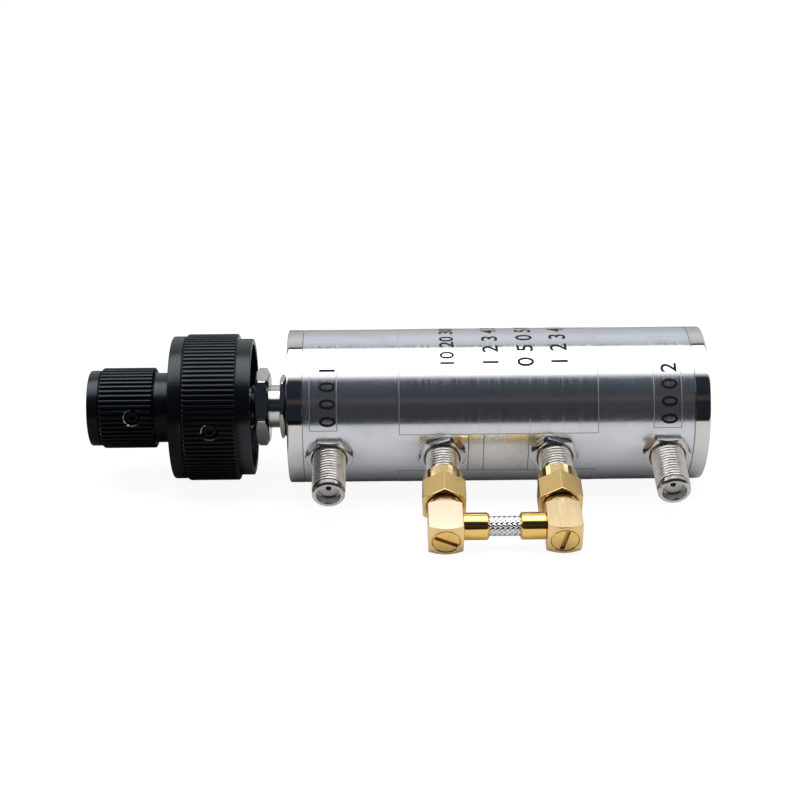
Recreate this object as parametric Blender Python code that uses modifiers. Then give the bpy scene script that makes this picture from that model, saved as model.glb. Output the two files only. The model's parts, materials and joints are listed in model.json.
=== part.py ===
# RF step attenuator with a tubular housing, lying on its side on a flat surface.
# Two concentric knurled knobs turn two drums of attenuator cells. Four threaded coaxial jacks
# leave the housing in one row, and a braided jumper with right-angle plugs joins the middle two.
#
# Sizes are in metres. The shaft axis runs along +X, from the knobs to the rear cover. Positions
# along it count from the housing's front face, and heights along a jack from the shaft axis.

import math

import bmesh
import bpy

# Clearances
SEAT_GAP = 0.00005
RUNNING_GAP = 0.0001
TAPPED_GAP = 0.00005
OVERCUT = 0.0010

# Housing
BODY_RADIUS = 0.0150
WALL = 0.0030
COVER_THICKNESS = 0.0030
END_PLATE_THICKNESS = 0.0029
MIDDLE_BLOCK_LENGTH = 0.0086
SPIGOT_LENGTH = 0.0013
EDGE_CHAMFER = 0.0003

# Jacks along the housing
JACK_SPACING = 0.0215
JACK_INSET = 0.0050

# Threaded jack, heights from its spot face on the housing
SPOT_FACE_DEPTH = 0.0004
SPOT_FACE_RADIUS = 0.00475
JACK_THREAD_RADIUS = 0.003175
JACK_LENGTH = 0.01147
JACK_LIP_RADIUS = 0.0028
JACK_LIP_CHAMFER = 0.00037
JACK_MOUTH_RADIUS = 0.0023
JACK_MOUTH_DEPTH = 0.0020
DIELECTRIC_RADIUS = 0.00205
CONTACT_RADIUS = 0.000635
CONTACT_SOCKET_RADIUS = 0.000475
CONTACT_SOCKET_DEPTH = 0.0024
CONTACT_TIP_RADIUS = 0.00035
CONTACT_TIP_LENGTH = 0.0004
CONTACT_WIPE_GAP = 0.0003
JACK_NUT_ACROSS_FLATS = 0.0080
JACK_NUT_THICKNESS = 0.0015
JACK_NUT_TURNS = (0.0, 12.0, -12.0, 0.0)

# Panel bushing and its hardware
BUSHING_RADIUS = 0.0042
BUSHING_FLANGE_RADIUS = 0.0055
BUSHING_FLANGE_THICKNESS = 0.0012
BUSHING_PAST_NUT = 0.0014
LOCK_WASHER_RADIUS = 0.0060
LOCK_WASHER_THICKNESS = 0.0008
JAM_NUT_ACROSS_FLATS = 0.0113
JAM_NUT_THICKNESS = 0.00105
JAM_NUT_TURN = 5.0
PANEL_SPACE = 0.00202
PANEL_NUT_ACROSS_FLATS = 0.0135
PANEL_NUT_THICKNESS = 0.00275
PANEL_NUT_TURN = 12.0

# Concentric shafts
OUTER_SHAFT_RADIUS = 0.003175
INNER_SHAFT_RADIUS = 0.0015875

# Outer knob
BIG_KNOB_RADIUS = 0.0144
BIG_KNOB_FLANGE_RADIUS = 0.0140
BIG_KNOB_NECK_RADIUS = 0.0134
BIG_KNOB_STANDOFF = 0.0070
BIG_KNOB_NECK_LENGTH = 0.0028
BIG_KNOB_GRIP_LENGTH = 0.0102
BIG_KNOB_FLANGE_LENGTH = 0.00255
BIG_KNOB_RIBS = 90
BIG_KNOB_CUP_WALL = 0.0010
BIG_KNOB_CUP_DEPTH = 0.0030
BIG_KNOB_HUB_RADIUS = 0.0058
BIG_KNOB_SHAFT_DEPTH = 0.0123
BIG_KNOB_SCREW_ANGLE = 19.5
BIG_KNOB_SCREW_OFFSET = 0.0077

# Inner knob
SMALL_KNOB_RADIUS = 0.0079
SMALL_KNOB_FLANGE_RADIUS = 0.0074
SMALL_KNOB_NECK_RADIUS = 0.00685
SMALL_KNOB_STANDOFF = 0.0004
SMALL_KNOB_NECK_LENGTH = 0.0031
SMALL_KNOB_GRIP_LENGTH = 0.0106
SMALL_KNOB_FLANGE_LENGTH = 0.00215
SMALL_KNOB_RIBS = 48
SMALL_KNOB_SHAFT_DEPTH = 0.0130
SMALL_KNOB_SCREW_ANGLE = 24.2
SMALL_KNOB_SCREW_OFFSET = 0.0072

# Details that both knobs share
KNURL_CHAMFER = 0.0002
KNURL_FRONT_TAPER = 0.0005
KNURL_REAR_TAPER = 0.0003
UNDERCUT_WIDTH = 0.00015
UNDERCUT_DEPTH = 0.0003
KNOB_EDGE_CHAMFER = 0.0003
SET_SCREW_RADIUS = 0.00142
SET_SCREW_HOLE_RADIUS = 0.0015
SET_SCREW_HOLE_PAST_SHAFT_EDGE = 0.0015
SET_SCREW_RECESS = 0.0011
SET_SCREW_CHAMFER = 0.0002
SET_SCREW_SOCKET = 0.00075
SET_SCREW_SOCKET_DEPTH = 0.0009

# Drums of attenuator cells
DRUM_CLEARANCE = 0.0015
DRUM_GROOVE_DEPTH = 0.0016
DRUM_OVERHANG = 0.0018
DRUM_CELLS = 12
DRUM_GROOVE_ANGLE = 9.0

# Ball detents in the middle block
STOP_ANGLE = 30.0
WHEEL_THICKNESS = 0.0026
WHEEL_END_GAP = 0.0003
WHEEL_RIM_GAP = 0.0007
NOTCH_WIDTH = 0.0028
NOTCH_DEPTH = 0.0010
BALL_RADIUS = 0.00119
BALL_LIFT = 0.0003
SPRING_LENGTH = 0.00212
SPRING_RADIUS = 0.00085
SPRING_WIRE_RADIUS = 0.00014
SPRING_TURNS = 2.5
SPRING_POINTS = 6
DETENT_PLUG_RADIUS = 0.0014
DETENT_PLUG_LENGTH = 0.0013
DETENT_PLUG_RECESS = 0.0003

# Cover screws
COVER_SCREW_INSET = 0.0016
COVER_SCREW_ANGLES = (60.0, 180.0, 300.0)
COVER_SCREW_RADIUS = 0.0008
COVER_SCREW_HEAD_RADIUS = 0.0014
COVER_SCREW_LENGTH = 0.0055
COVER_SCREW_SLOT_WIDTH = 0.0004
COVER_SCREW_SLOT_DEPTH = 0.0004

# Jumper: coupling nuts, heights from the jack's mouth
COUPLING_OVERLAP = 0.00427
COUPLING_COLLAR_RADIUS = 0.00385
COUPLING_COLLAR_LENGTH = 0.0027
COUPLING_HEX_LENGTH = 0.0050
COUPLING_ACROSS_FLATS = 0.0080
COUPLING_STEP_RADIUS = 0.0027
COUPLING_STEP_THICKNESS = 0.0010
COUPLING_REAR_BORE_RADIUS = 0.00345
COUPLING_REAR_BORE_DEPTH = 0.0015
NUT_CHAMFER_SLOPE = 30.0

# Jumper: right-angle plug bodies
ELBOW_NECK_RADIUS = 0.00315
ELBOW_NECK_LENGTH = 0.0015
ELBOW_FLANGE_RADIUS = 0.0031
ELBOW_SLEEVE_RADIUS = 0.0022
ELBOW_WIDTH = 0.0064
ELBOW_LENGTH = 0.0077
ELBOW_END_RADIUS = 0.0031
ELBOW_END_SLOPE = 30.0
END_PLUG_RADIUS = 0.00265
END_PLUG_THICKNESS = 0.0012
END_PLUG_SLOT_WIDTH = 0.0008
END_PLUG_SLOT_DEPTH = 0.0008
PLUG_PIN_RADIUS = 0.00043
PLUG_PIN_REACH = 0.0017
PLUG_PIN_LENGTH = 0.0066

# Jumper: cable
CABLE_DROP = 0.0037
CABLE_RADIUS = 0.00185
FERRULE_RADIUS = 0.00252
FERRULE_LENGTH = 0.00435
FERRULE_TAPER = 0.00035

# Size that the empties are drawn at
AXIS_DISPLAY_SIZE = 0.005

# Facets round a full turn
BODY_SEGMENTS = 32
BLOCK_SEGMENTS = 24
JACK_SEGMENTS = 18
SHAFT_SEGMENTS = 16
SMALL_SEGMENTS = 10
SCREW_SEGMENTS = 8
MERGE_DISTANCE = 0.000002

# Places along the shaft, from the front face
SHELL_LENGTH = JACK_SPACING + 2 * JACK_INSET
FRONT_SHELL_START = COVER_THICKNESS
END_PLATE_START = FRONT_SHELL_START + SHELL_LENGTH
MIDDLE_BLOCK_START = END_PLATE_START + END_PLATE_THICKNESS
REAR_SHELL_START = MIDDLE_BLOCK_START + MIDDLE_BLOCK_LENGTH
REAR_COVER_START = REAR_SHELL_START + SHELL_LENGTH
BODY_LENGTH = REAR_COVER_START + COVER_THICKNESS
BORE_RADIUS = BODY_RADIUS - WALL
SPIGOT_RADIUS = BORE_RADIUS - SEAT_GAP
COVER_SCREW_CIRCLE = BODY_RADIUS - COVER_SCREW_INSET
DRUM_RADIUS = BORE_RADIUS - DRUM_CLEARANCE
JACK_PLACES = (
    FRONT_SHELL_START + JACK_INSET,
    FRONT_SHELL_START + JACK_INSET + JACK_SPACING,
    REAR_SHELL_START + JACK_INSET,
    REAR_SHELL_START + JACK_INSET + JACK_SPACING,
)
SPOT_FACE_HEIGHT = BODY_RADIUS - SPOT_FACE_DEPTH
JACK_TIP = SPOT_FACE_HEIGHT + JACK_LENGTH
JACK_INNER_END = BORE_RADIUS - SEAT_GAP
DIELECTRIC_TOP = JACK_TIP - JACK_MOUTH_DEPTH

# Places of the panel hardware and knobs, in front of the front face
JAM_NUT_FRONT = -(LOCK_WASHER_THICKNESS + JAM_NUT_THICKNESS)
PANEL_NUT_REAR = JAM_NUT_FRONT - PANEL_SPACE
PANEL_NUT_FRONT = PANEL_NUT_REAR - PANEL_NUT_THICKNESS
BUSHING_FRONT = PANEL_NUT_FRONT - BUSHING_PAST_NUT
BIG_KNOB_REAR = -BIG_KNOB_STANDOFF
BIG_KNOB_FRONT = BIG_KNOB_REAR - (
    BIG_KNOB_NECK_LENGTH + BIG_KNOB_GRIP_LENGTH + UNDERCUT_WIDTH + BIG_KNOB_FLANGE_LENGTH
)
HUB_REAR = min(BUSHING_FRONT - 4 * RUNNING_GAP, BIG_KNOB_REAR - 4 * RUNNING_GAP)
OUTER_SHAFT_FRONT = HUB_REAR - BIG_KNOB_SHAFT_DEPTH
SMALL_KNOB_REAR = BIG_KNOB_FRONT - SMALL_KNOB_STANDOFF
SMALL_KNOB_FRONT = SMALL_KNOB_REAR - (
    SMALL_KNOB_NECK_LENGTH + SMALL_KNOB_GRIP_LENGTH + UNDERCUT_WIDTH + SMALL_KNOB_FLANGE_LENGTH
)
INNER_SHAFT_FRONT = SMALL_KNOB_REAR - SMALL_KNOB_SHAFT_DEPTH

# Places of the detents, from the plug in the housing's surface down to the wheel
DETENT_PLUG_TOP = BODY_RADIUS - DETENT_PLUG_RECESS
DETENT_PLUG_BOTTOM = DETENT_PLUG_TOP - DETENT_PLUG_LENGTH
BALL_CENTRE = DETENT_PLUG_BOTTOM - SPRING_LENGTH - BALL_RADIUS
WHEEL_RADIUS = BALL_CENTRE - BALL_RADIUS - BALL_LIFT
WHEEL_RECESS_DEPTH = WHEEL_THICKNESS + 2 * WHEEL_END_GAP
WHEEL_RECESS_RADIUS = WHEEL_RADIUS + WHEEL_RIM_GAP
FRONT_WHEEL_START = MIDDLE_BLOCK_START + WHEEL_END_GAP
REAR_WHEEL_START = REAR_SHELL_START - WHEEL_END_GAP - WHEEL_THICKNESS
BALL_HOLE_RADIUS = BALL_RADIUS + SEAT_GAP
DETENT_ANGLE = 180.0

# Heights of the jumper along its jacks
COUPLING_START = JACK_TIP - COUPLING_OVERLAP
COUPLING_HEX_START = COUPLING_START + COUPLING_COLLAR_LENGTH
COUPLING_END = COUPLING_HEX_START + COUPLING_HEX_LENGTH
COUPLING_STEP_END = COUPLING_END - COUPLING_REAR_BORE_DEPTH
COUPLING_STEP_START = COUPLING_STEP_END - COUPLING_STEP_THICKNESS
ELBOW_START = COUPLING_END + ELBOW_NECK_LENGTH
ELBOW_END = ELBOW_START + ELBOW_LENGTH
CABLE_HEIGHT = ELBOW_START + CABLE_DROP
FERRULE_START = ELBOW_WIDTH / 2 + SEAT_GAP
FERRULE_END = FERRULE_START + FERRULE_LENGTH + FERRULE_TAPER

# The part rests on the housing's lowest line and on the far edges of both elbows
REST_HALF_WIDTH = ELBOW_WIDTH / 2
REST_REACH = ELBOW_END - (REST_HALF_WIDTH - ELBOW_END_RADIUS) * math.tan(math.radians(ELBOW_END_SLOPE))
LIE_ANGLE = math.asin(BODY_RADIUS / math.hypot(REST_REACH, REST_HALF_WIDTH)) - math.atan2(
    REST_HALF_WIDTH, REST_REACH
)
FAR_EDGE = ELBOW_END * math.cos(LIE_ANGLE) + ELBOW_END_RADIUS * math.sin(LIE_ANGLE)
ORIGIN_X = (SMALL_KNOB_FRONT + BODY_LENGTH) / 2
ORIGIN_Y = (BODY_RADIUS - FAR_EDGE) / 2

# Base colour, metallic and roughness of each material
MATERIALS = {
    "polished_nickel": ((0.62, 0.62, 0.63, 1.0), 1.0, 0.16),
    "nickel_thread": ((0.66, 0.64, 0.61, 1.0), 1.0, 0.28),
    "black_anodised": ((0.012, 0.013, 0.015, 1.0), 0.35, 0.38),
    "black_oxide": ((0.02, 0.02, 0.021, 1.0), 0.6, 0.45),
    "polished_gold": ((0.95, 0.70, 0.30, 1.0), 1.0, 0.15),
    "tinned_braid": ((0.78, 0.78, 0.79, 1.0), 1.0, 0.35),
    "white_dielectric": ((0.86, 0.85, 0.81, 1.0), 0.0, 0.45),
    "shaft_steel": ((0.56, 0.56, 0.57, 1.0), 1.0, 0.30),
    "drum_plastic": ((0.10, 0.10, 0.11, 1.0), 0.0, 0.50),
    "detent_brass": ((0.80, 0.62, 0.30, 1.0), 1.0, 0.30),
}


def clear_scene():
    for old_object in list(bpy.data.objects):
        bpy.data.objects.remove(old_object, do_unlink=True)


def new_collection(name):
    collection = bpy.data.collections.new(name)
    bpy.context.scene.collection.children.link(collection)
    return collection


def new_material(name):
    color, metallic, roughness = MATERIALS[name]
    material = bpy.data.materials.new(name)
    material.use_nodes = True
    shader = material.node_tree.nodes["Principled BSDF"]
    shader.inputs["Base Color"].default_value = color
    shader.inputs["Metallic"].default_value = metallic
    shader.inputs["Roughness"].default_value = roughness
    material.diffuse_color = color
    return material


clear_scene()
PARTS = new_collection("rf_attenuator")
CUTTERS = new_collection("cutters")
SHADES = {name: new_material(name) for name in MATERIALS}


# Frames: empties whose Z axis is the axis that their pieces turn about
def new_frame(name, parent, location=(0.0, 0.0, 0.0), rotation=(0.0, 0.0, 0.0)):
    frame = bpy.data.objects.new(name, None)
    frame.empty_display_size = AXIS_DISPLAY_SIZE
    frame.parent = parent
    frame.location = location
    frame.rotation_euler = rotation
    PARTS.objects.link(frame)
    return frame


def radial_frame(name, place, angle):
    """Z points away from the shaft, at an angle in degrees from the jacks towards the top."""
    tilt = math.radians(90.0 - angle)
    return new_frame(name, ROOT, (place, 0.0, 0.0), (tilt, 0.0, 0.0))


ROOT = new_frame("resting_frame", None, (-ORIGIN_X, -ORIGIN_Y, BODY_RADIUS), (LIE_ANGLE, 0.0, 0.0))
SHAFT = new_frame("shaft_axis", ROOT, rotation=(0.0, math.radians(90.0), 0.0))


# Placing meshes as finished pieces or as cutters
def add_mesh(name, mesh, parent, shade, turn=0.0, location=(0.0, 0.0, 0.0)):
    piece = bpy.data.objects.new(name, mesh)
    piece.parent = parent
    piece.location = location
    piece.rotation_euler.z = math.radians(turn)
    if shade is None:
        piece.hide_render = True
        piece.display_type = "WIRE"
        CUTTERS.objects.link(piece)
    else:
        mesh.materials.append(SHADES[shade])
        PARTS.objects.link(piece)
    return piece


def turned(name, profile, parent, shade=None, segments=JACK_SEGMENTS, turn=0.0, location=(0, 0, 0)):
    """Revolve (radius, height) points, listed down the outer side, about the parent's Z axis.

    A profile that starts on the axis also ends there. Any other one is a closed ring section."""
    mesh = bpy.data.meshes.new(name)
    last = len(profile) - 1
    edges = [(point, point + 1) for point in range(last)]
    if profile[0][0] > 0.0:
        edges.append((last, 0))
    mesh.from_pydata([(radius, 0.0, height) for radius, height in profile], edges, [])
    piece = add_mesh(name, mesh, parent, shade, turn, location)
    screw = piece.modifiers.new("Revolve", "SCREW")
    screw.axis = "Z"
    screw.angle = math.tau
    screw.steps = segments
    screw.render_steps = segments
    screw.use_merge_vertices = True
    screw.merge_threshold = MERGE_DISTANCE
    return piece


def rod(name, radius, bottom, top, parent, shade=None, segments=SMALL_SEGMENTS, turn=0.0):
    profile = [(0.0, top), (radius, top), (radius, bottom), (0.0, bottom)]
    return turned(name, profile, parent, shade, segments, turn)


def tube(name, bore, radius, bottom, top, parent, shade, segments=JACK_SEGMENTS):
    profile = [(bore, top), (radius, top), (radius, bottom), (bore, bottom)]
    return turned(name, profile, parent, shade, segments)


def hex_prism(name, across_flats, bottom, top, parent, turn=0.0):
    """A prism with its first corner on the parent's X axis, turned from there in degrees."""
    corner = across_flats / 2 / math.cos(math.pi / 6)
    return rod(name, corner, bottom, top, parent, None, 6, turn)


def box(name, size, centre, parent, turn=0.0):
    mesh = bpy.data.meshes.new(name)
    shape = bmesh.new()
    bmesh.ops.create_cube(shape, size=1.0)
    bmesh.ops.scale(shape, vec=size, verts=shape.verts)
    shape.to_mesh(mesh)
    shape.free()
    return add_mesh(name, mesh, parent, None, turn, centre)


def circle(radius, points):
    steps = [math.tau * step / points for step in range(points)]
    return [(radius * math.cos(step), radius * math.sin(step)) for step in steps]


def extruded(name, outlines, bottom, top, parent, shade=None, turn=0.0):
    """Extrude closed outlines between two heights. The first is the edge, the rest are holes."""
    curve = bpy.data.curves.new(name, "CURVE")
    curve.dimensions = "2D"
    curve.fill_mode = "BOTH"
    curve.extrude = (top - bottom) / 2
    for outline in outlines:
        spline = curve.splines.new("POLY")
        spline.points.add(len(outline) - 1)
        for point, (x, y) in zip(spline.points, outline):
            point.co = (x, y, 0.0, 1.0)
        spline.use_cyclic_u = True
    drawing = bpy.data.objects.new(name + "_outline", curve)
    CUTTERS.objects.link(drawing)
    evaluated = drawing.evaluated_get(bpy.context.evaluated_depsgraph_get())
    mesh = bpy.data.meshes.new_from_object(evaluated)
    bpy.data.objects.remove(drawing)
    shape = bmesh.new()
    shape.from_mesh(mesh)
    bmesh.ops.remove_doubles(shape, verts=shape.verts, dist=MERGE_DISTANCE)
    bmesh.ops.recalc_face_normals(shape, faces=shape.faces)
    bmesh.ops.translate(shape, verts=shape.verts, vec=(0.0, 0.0, (top + bottom) / 2))
    shape.to_mesh(mesh)
    shape.free()
    return add_mesh(name, mesh, parent, shade, turn)


def boolean(target, tool, operation="DIFFERENCE"):
    step = target.modifiers.new(tool.name, "BOOLEAN")
    step.operation = operation
    step.solver = "EXACT"
    step.object = tool


def weld(piece):
    """Merge the near-duplicate points that cuts leave behind."""
    step = piece.modifiers.new("Weld", "WELD")
    step.merge_threshold = MERGE_DISTANCE


def chamfer_drop(corner, flat):
    """How far a nut's conical chamfer falls between its flat's middle and its corner."""
    return (corner - flat) * math.tan(math.radians(NUT_CHAMFER_SLOPE))


def hex_nut(name, across_flats, bore, bottom, top, parent, shade, turn):
    """A nut whose corners are chamfered at both ends, trimmed from a turned ring."""
    flat = across_flats / 2
    corner = flat / math.cos(math.pi / 6) + OVERCUT
    drop = min(chamfer_drop(corner, flat), (top - bottom) * 0.45)
    profile = [(bore, top), (flat, top), (corner, top - drop), (corner, bottom + drop)]
    profile += [(flat, bottom), (bore, bottom)]
    nut = turned(name, profile, parent, shade)
    flats = hex_prism(name + "_flats", across_flats, bottom - OVERCUT, top + OVERCUT, parent, turn)
    boolean(nut, flats, "INTERSECT")
    return nut


# Housing
def drill_for_jack(shell, number):
    frame = JACK_FRAMES[number]
    hole = JACK_THREAD_RADIUS + TAPPED_GAP
    profile = [
        (0.0, BODY_RADIUS + OVERCUT),
        (SPOT_FACE_RADIUS, BODY_RADIUS + OVERCUT),
        (SPOT_FACE_RADIUS, SPOT_FACE_HEIGHT),
        (hole, SPOT_FACE_HEIGHT),
        (hole, BORE_RADIUS - WALL),
        (0.0, BORE_RADIUS - WALL),
    ]
    boolean(shell, turned(f"jack_{number + 1}_hole", profile, frame))


def cover_screw_frames(label, place, facing):
    """One frame for each cover screw, with Z out of the screw's head."""
    frames = []
    for number, angle in enumerate(COVER_SCREW_ANGLES):
        turn = math.radians(angle)
        location = (
            place,
            -COVER_SCREW_CIRCLE * math.cos(turn),
            COVER_SCREW_CIRCLE * math.sin(turn),
        )
        rotation = (0.0, math.radians(90.0 * facing), 0.0)
        frames.append(new_frame(f"{label}_screw_axis_{number + 1}", ROOT, location, rotation))
    return frames


def cover_screw(label, number, frame, cover, shell):
    head_depth = COVER_SCREW_HEAD_RADIUS - COVER_SCREW_RADIUS
    clearance = COVER_SCREW_RADIUS + RUNNING_GAP
    name = f"{label}_screw_{number + 1}"
    countersink = [
        (0.0, OVERCUT),
        (COVER_SCREW_HEAD_RADIUS + RUNNING_GAP + OVERCUT, OVERCUT),
        (clearance, -head_depth),
        (clearance, -COVER_THICKNESS - OVERCUT),
        (0.0, -COVER_THICKNESS - OVERCUT),
    ]
    boolean(cover, turned(name + "_countersink", countersink, frame, segments=SCREW_SEGMENTS))
    tapped = COVER_SCREW_RADIUS + TAPPED_GAP
    depth = COVER_SCREW_LENGTH + 3 * RUNNING_GAP
    boolean(shell, rod(name + "_tapping", tapped, -depth, OVERCUT, frame, None, SCREW_SEGMENTS))
    profile = [
        (0.0, -SEAT_GAP),
        (COVER_SCREW_HEAD_RADIUS - SEAT_GAP, -SEAT_GAP),
        (COVER_SCREW_RADIUS, -head_depth - SEAT_GAP),
        (COVER_SCREW_RADIUS, -COVER_SCREW_LENGTH),
        (0.0, -COVER_SCREW_LENGTH),
    ]
    screw = turned(name, profile, frame, "shaft_steel", SCREW_SEGMENTS)
    slot_size = (3 * COVER_SCREW_HEAD_RADIUS, COVER_SCREW_SLOT_WIDTH, 2 * COVER_SCREW_SLOT_DEPTH)
    slot_centre = (0.0, 0.0, -SEAT_GAP)
    boolean(screw, box(name + "_slot", slot_size, slot_centre, frame, 35.0 + 50.0 * number))


def front_cover():
    bore = BUSHING_RADIUS + SEAT_GAP
    rear = COVER_THICKNESS
    profile = [
        (bore, rear + SPIGOT_LENGTH),
        (SPIGOT_RADIUS, rear + SPIGOT_LENGTH),
        (SPIGOT_RADIUS, rear),
        (BODY_RADIUS, rear),
        (BODY_RADIUS, EDGE_CHAMFER),
        (BODY_RADIUS - EDGE_CHAMFER, 0.0),
        (bore, 0.0),
    ]
    return turned("front_cover", profile, SHAFT, "polished_nickel", BODY_SEGMENTS)


def shell(name, start, jacks):
    piece = tube(
        name, BORE_RADIUS, BODY_RADIUS, start + SEAT_GAP, start + SHELL_LENGTH, SHAFT,
        "polished_nickel", BODY_SEGMENTS,
    )
    for number in jacks:
        drill_for_jack(piece, number)
    return piece


def end_plate():
    bore = OUTER_SHAFT_RADIUS + RUNNING_GAP
    front = END_PLATE_START + SEAT_GAP
    spigot_front = END_PLATE_START - SPIGOT_LENGTH
    profile = [
        (bore, MIDDLE_BLOCK_START),
        (BODY_RADIUS, MIDDLE_BLOCK_START),
        (BODY_RADIUS, front),
        (SPIGOT_RADIUS, front),
        (SPIGOT_RADIUS, spigot_front),
        (bore, spigot_front),
    ]
    turned("end_plate", profile, SHAFT, "polished_nickel", BODY_SEGMENTS)


def middle_block():
    bore = INNER_SHAFT_RADIUS + RUNNING_GAP
    front = MIDDLE_BLOCK_START + SEAT_GAP
    profile = [
        (WHEEL_RECESS_RADIUS, REAR_SHELL_START),
        (BODY_RADIUS, REAR_SHELL_START),
        (BODY_RADIUS, front),
        (WHEEL_RECESS_RADIUS, front),
        (WHEEL_RECESS_RADIUS, front + WHEEL_RECESS_DEPTH),
        (bore, front + WHEEL_RECESS_DEPTH),
        (bore, REAR_SHELL_START - WHEEL_RECESS_DEPTH),
        (WHEEL_RECESS_RADIUS, REAR_SHELL_START - WHEEL_RECESS_DEPTH),
    ]
    return turned("middle_block", profile, SHAFT, "polished_nickel", BODY_SEGMENTS)


def rear_cover():
    bore = INNER_SHAFT_RADIUS + RUNNING_GAP
    front = REAR_COVER_START + SEAT_GAP
    spigot_front = REAR_COVER_START - SPIGOT_LENGTH
    bore_end = REAR_COVER_START + COVER_THICKNESS / 2
    profile = [
        (0.0, BODY_LENGTH),
        (BODY_RADIUS - EDGE_CHAMFER, BODY_LENGTH),
        (BODY_RADIUS, BODY_LENGTH - EDGE_CHAMFER),
        (BODY_RADIUS, front),
        (SPIGOT_RADIUS, front),
        (SPIGOT_RADIUS, spigot_front),
        (bore, spigot_front),
        (bore, bore_end),
        (0.0, bore_end),
    ]
    return turned("rear_cover", profile, SHAFT, "polished_nickel", BODY_SEGMENTS)


def housing():
    front_lid = front_cover()
    front_shell = shell("front_shell", FRONT_SHELL_START, (0, 1))
    end_plate()
    rear_shell = shell("rear_shell", REAR_SHELL_START, (2, 3))
    rear_lid = rear_cover()
    for number, frame in enumerate(cover_screw_frames("front_cover", 0.0, -1)):
        cover_screw("front_cover", number, frame, front_lid, front_shell)
    for number, frame in enumerate(cover_screw_frames("rear_cover", BODY_LENGTH, 1)):
        cover_screw("rear_cover", number, frame, rear_lid, rear_shell)


# Panel bushing and nuts
def panel_hardware():
    bore = OUTER_SHAFT_RADIUS + RUNNING_GAP
    flange_front = COVER_THICKNESS + SPIGOT_LENGTH + SEAT_GAP
    profile = [
        (bore, flange_front + BUSHING_FLANGE_THICKNESS),
        (BUSHING_FLANGE_RADIUS, flange_front + BUSHING_FLANGE_THICKNESS),
        (BUSHING_FLANGE_RADIUS, flange_front),
        (BUSHING_RADIUS, flange_front),
        (BUSHING_RADIUS, BUSHING_FRONT + EDGE_CHAMFER),
        (BUSHING_RADIUS - EDGE_CHAMFER, BUSHING_FRONT),
        (bore, BUSHING_FRONT),
    ]
    turned("bushing", profile, SHAFT, "nickel_thread")
    thread = BUSHING_RADIUS + TAPPED_GAP
    tube(
        "lock_washer", thread, LOCK_WASHER_RADIUS, -LOCK_WASHER_THICKNESS, -SEAT_GAP, SHAFT,
        "black_oxide",
    )
    hex_nut(
        "jam_nut", JAM_NUT_ACROSS_FLATS, thread, JAM_NUT_FRONT, -LOCK_WASHER_THICKNESS - SEAT_GAP,
        SHAFT, "polished_nickel", JAM_NUT_TURN,
    )
    hex_nut(
        "panel_nut", PANEL_NUT_ACROSS_FLATS, thread, PANEL_NUT_FRONT, PANEL_NUT_REAR, SHAFT,
        "polished_nickel", PANEL_NUT_TURN,
    )


# Shafts, drums and detents
def shafts():
    wheel_end = FRONT_WHEEL_START + WHEEL_THICKNESS
    tube(
        "outer_shaft", INNER_SHAFT_RADIUS + RUNNING_GAP, OUTER_SHAFT_RADIUS, OUTER_SHAFT_FRONT,
        wheel_end, SHAFT, "shaft_steel", SHAFT_SEGMENTS,
    )
    rear = REAR_COVER_START + COVER_THICKNESS / 2 - 3 * RUNNING_GAP
    rod(
        "inner_shaft", INNER_SHAFT_RADIUS, INNER_SHAFT_FRONT, rear, SHAFT, "shaft_steel",
        SHAFT_SEGMENTS,
    )


def drum(name, first_jack, shaft_radius):
    """A carrier with one land for each attenuator cell, long enough to lie under both jacks."""
    outline = []
    half_groove = math.radians(DRUM_GROOVE_ANGLE)
    groove_radius = DRUM_RADIUS - DRUM_GROOVE_DEPTH
    half_pitch = math.pi / DRUM_CELLS
    for cell in range(DRUM_CELLS):
        groove = math.tau * cell / DRUM_CELLS + half_pitch
        corners = (
            (groove - half_groove, DRUM_RADIUS),
            (groove - half_groove, groove_radius),
            (groove + half_groove, groove_radius),
            (groove + half_groove, DRUM_RADIUS),
        )
        outline += [(radius * math.cos(turn), radius * math.sin(turn)) for turn, radius in corners]
    bore = circle(shaft_radius + SEAT_GAP, SHAFT_SEGMENTS)
    start = JACK_PLACES[first_jack] - DRUM_OVERHANG
    end = JACK_PLACES[first_jack + 1] + DRUM_OVERHANG
    extruded(name, [outline, bore], start, end, SHAFT, "drum_plastic")


def detent_wheel(name, start, shaft_radius):
    """A wheel with a notch at each stop, one of them facing the ball at rest."""
    stops = round(360.0 / STOP_ANGLE)
    half_notch = math.asin(NOTCH_WIDTH / 2 / WHEEL_RADIUS)
    outline = []
    for stop in range(stops):
        notch = math.radians(stop * STOP_ANGLE)
        corners = (
            (notch - half_notch, WHEEL_RADIUS),
            (notch, WHEEL_RADIUS - NOTCH_DEPTH),
            (notch + half_notch, WHEEL_RADIUS),
        )
        outline += [(radius * math.cos(turn), radius * math.sin(turn)) for turn, radius in corners]
    bore = circle(shaft_radius + SEAT_GAP, SHAFT_SEGMENTS)
    extruded(name, [outline, bore], start, start + WHEEL_THICKNESS, SHAFT, "detent_brass")


def spring(name, bottom, top, frame):
    low = bottom + SPRING_WIRE_RADIUS + SEAT_GAP
    high = top - SPRING_WIRE_RADIUS - SEAT_GAP
    steps = round(SPRING_TURNS * SPRING_POINTS)
    curve = bpy.data.curves.new(name, "CURVE")
    curve.dimensions = "3D"
    curve.bevel_depth = SPRING_WIRE_RADIUS
    curve.bevel_resolution = 1
    curve.use_fill_caps = True
    coil = curve.splines.new("POLY")
    coil.points.add(steps)
    for step, point in enumerate(coil.points):
        turn = math.tau * SPRING_TURNS * step / steps
        height = low + (high - low) * step / steps
        point.co = (SPRING_RADIUS * math.cos(turn), SPRING_RADIUS * math.sin(turn), height, 1.0)
    add_mesh(name, curve, frame, "shaft_steel")


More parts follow.
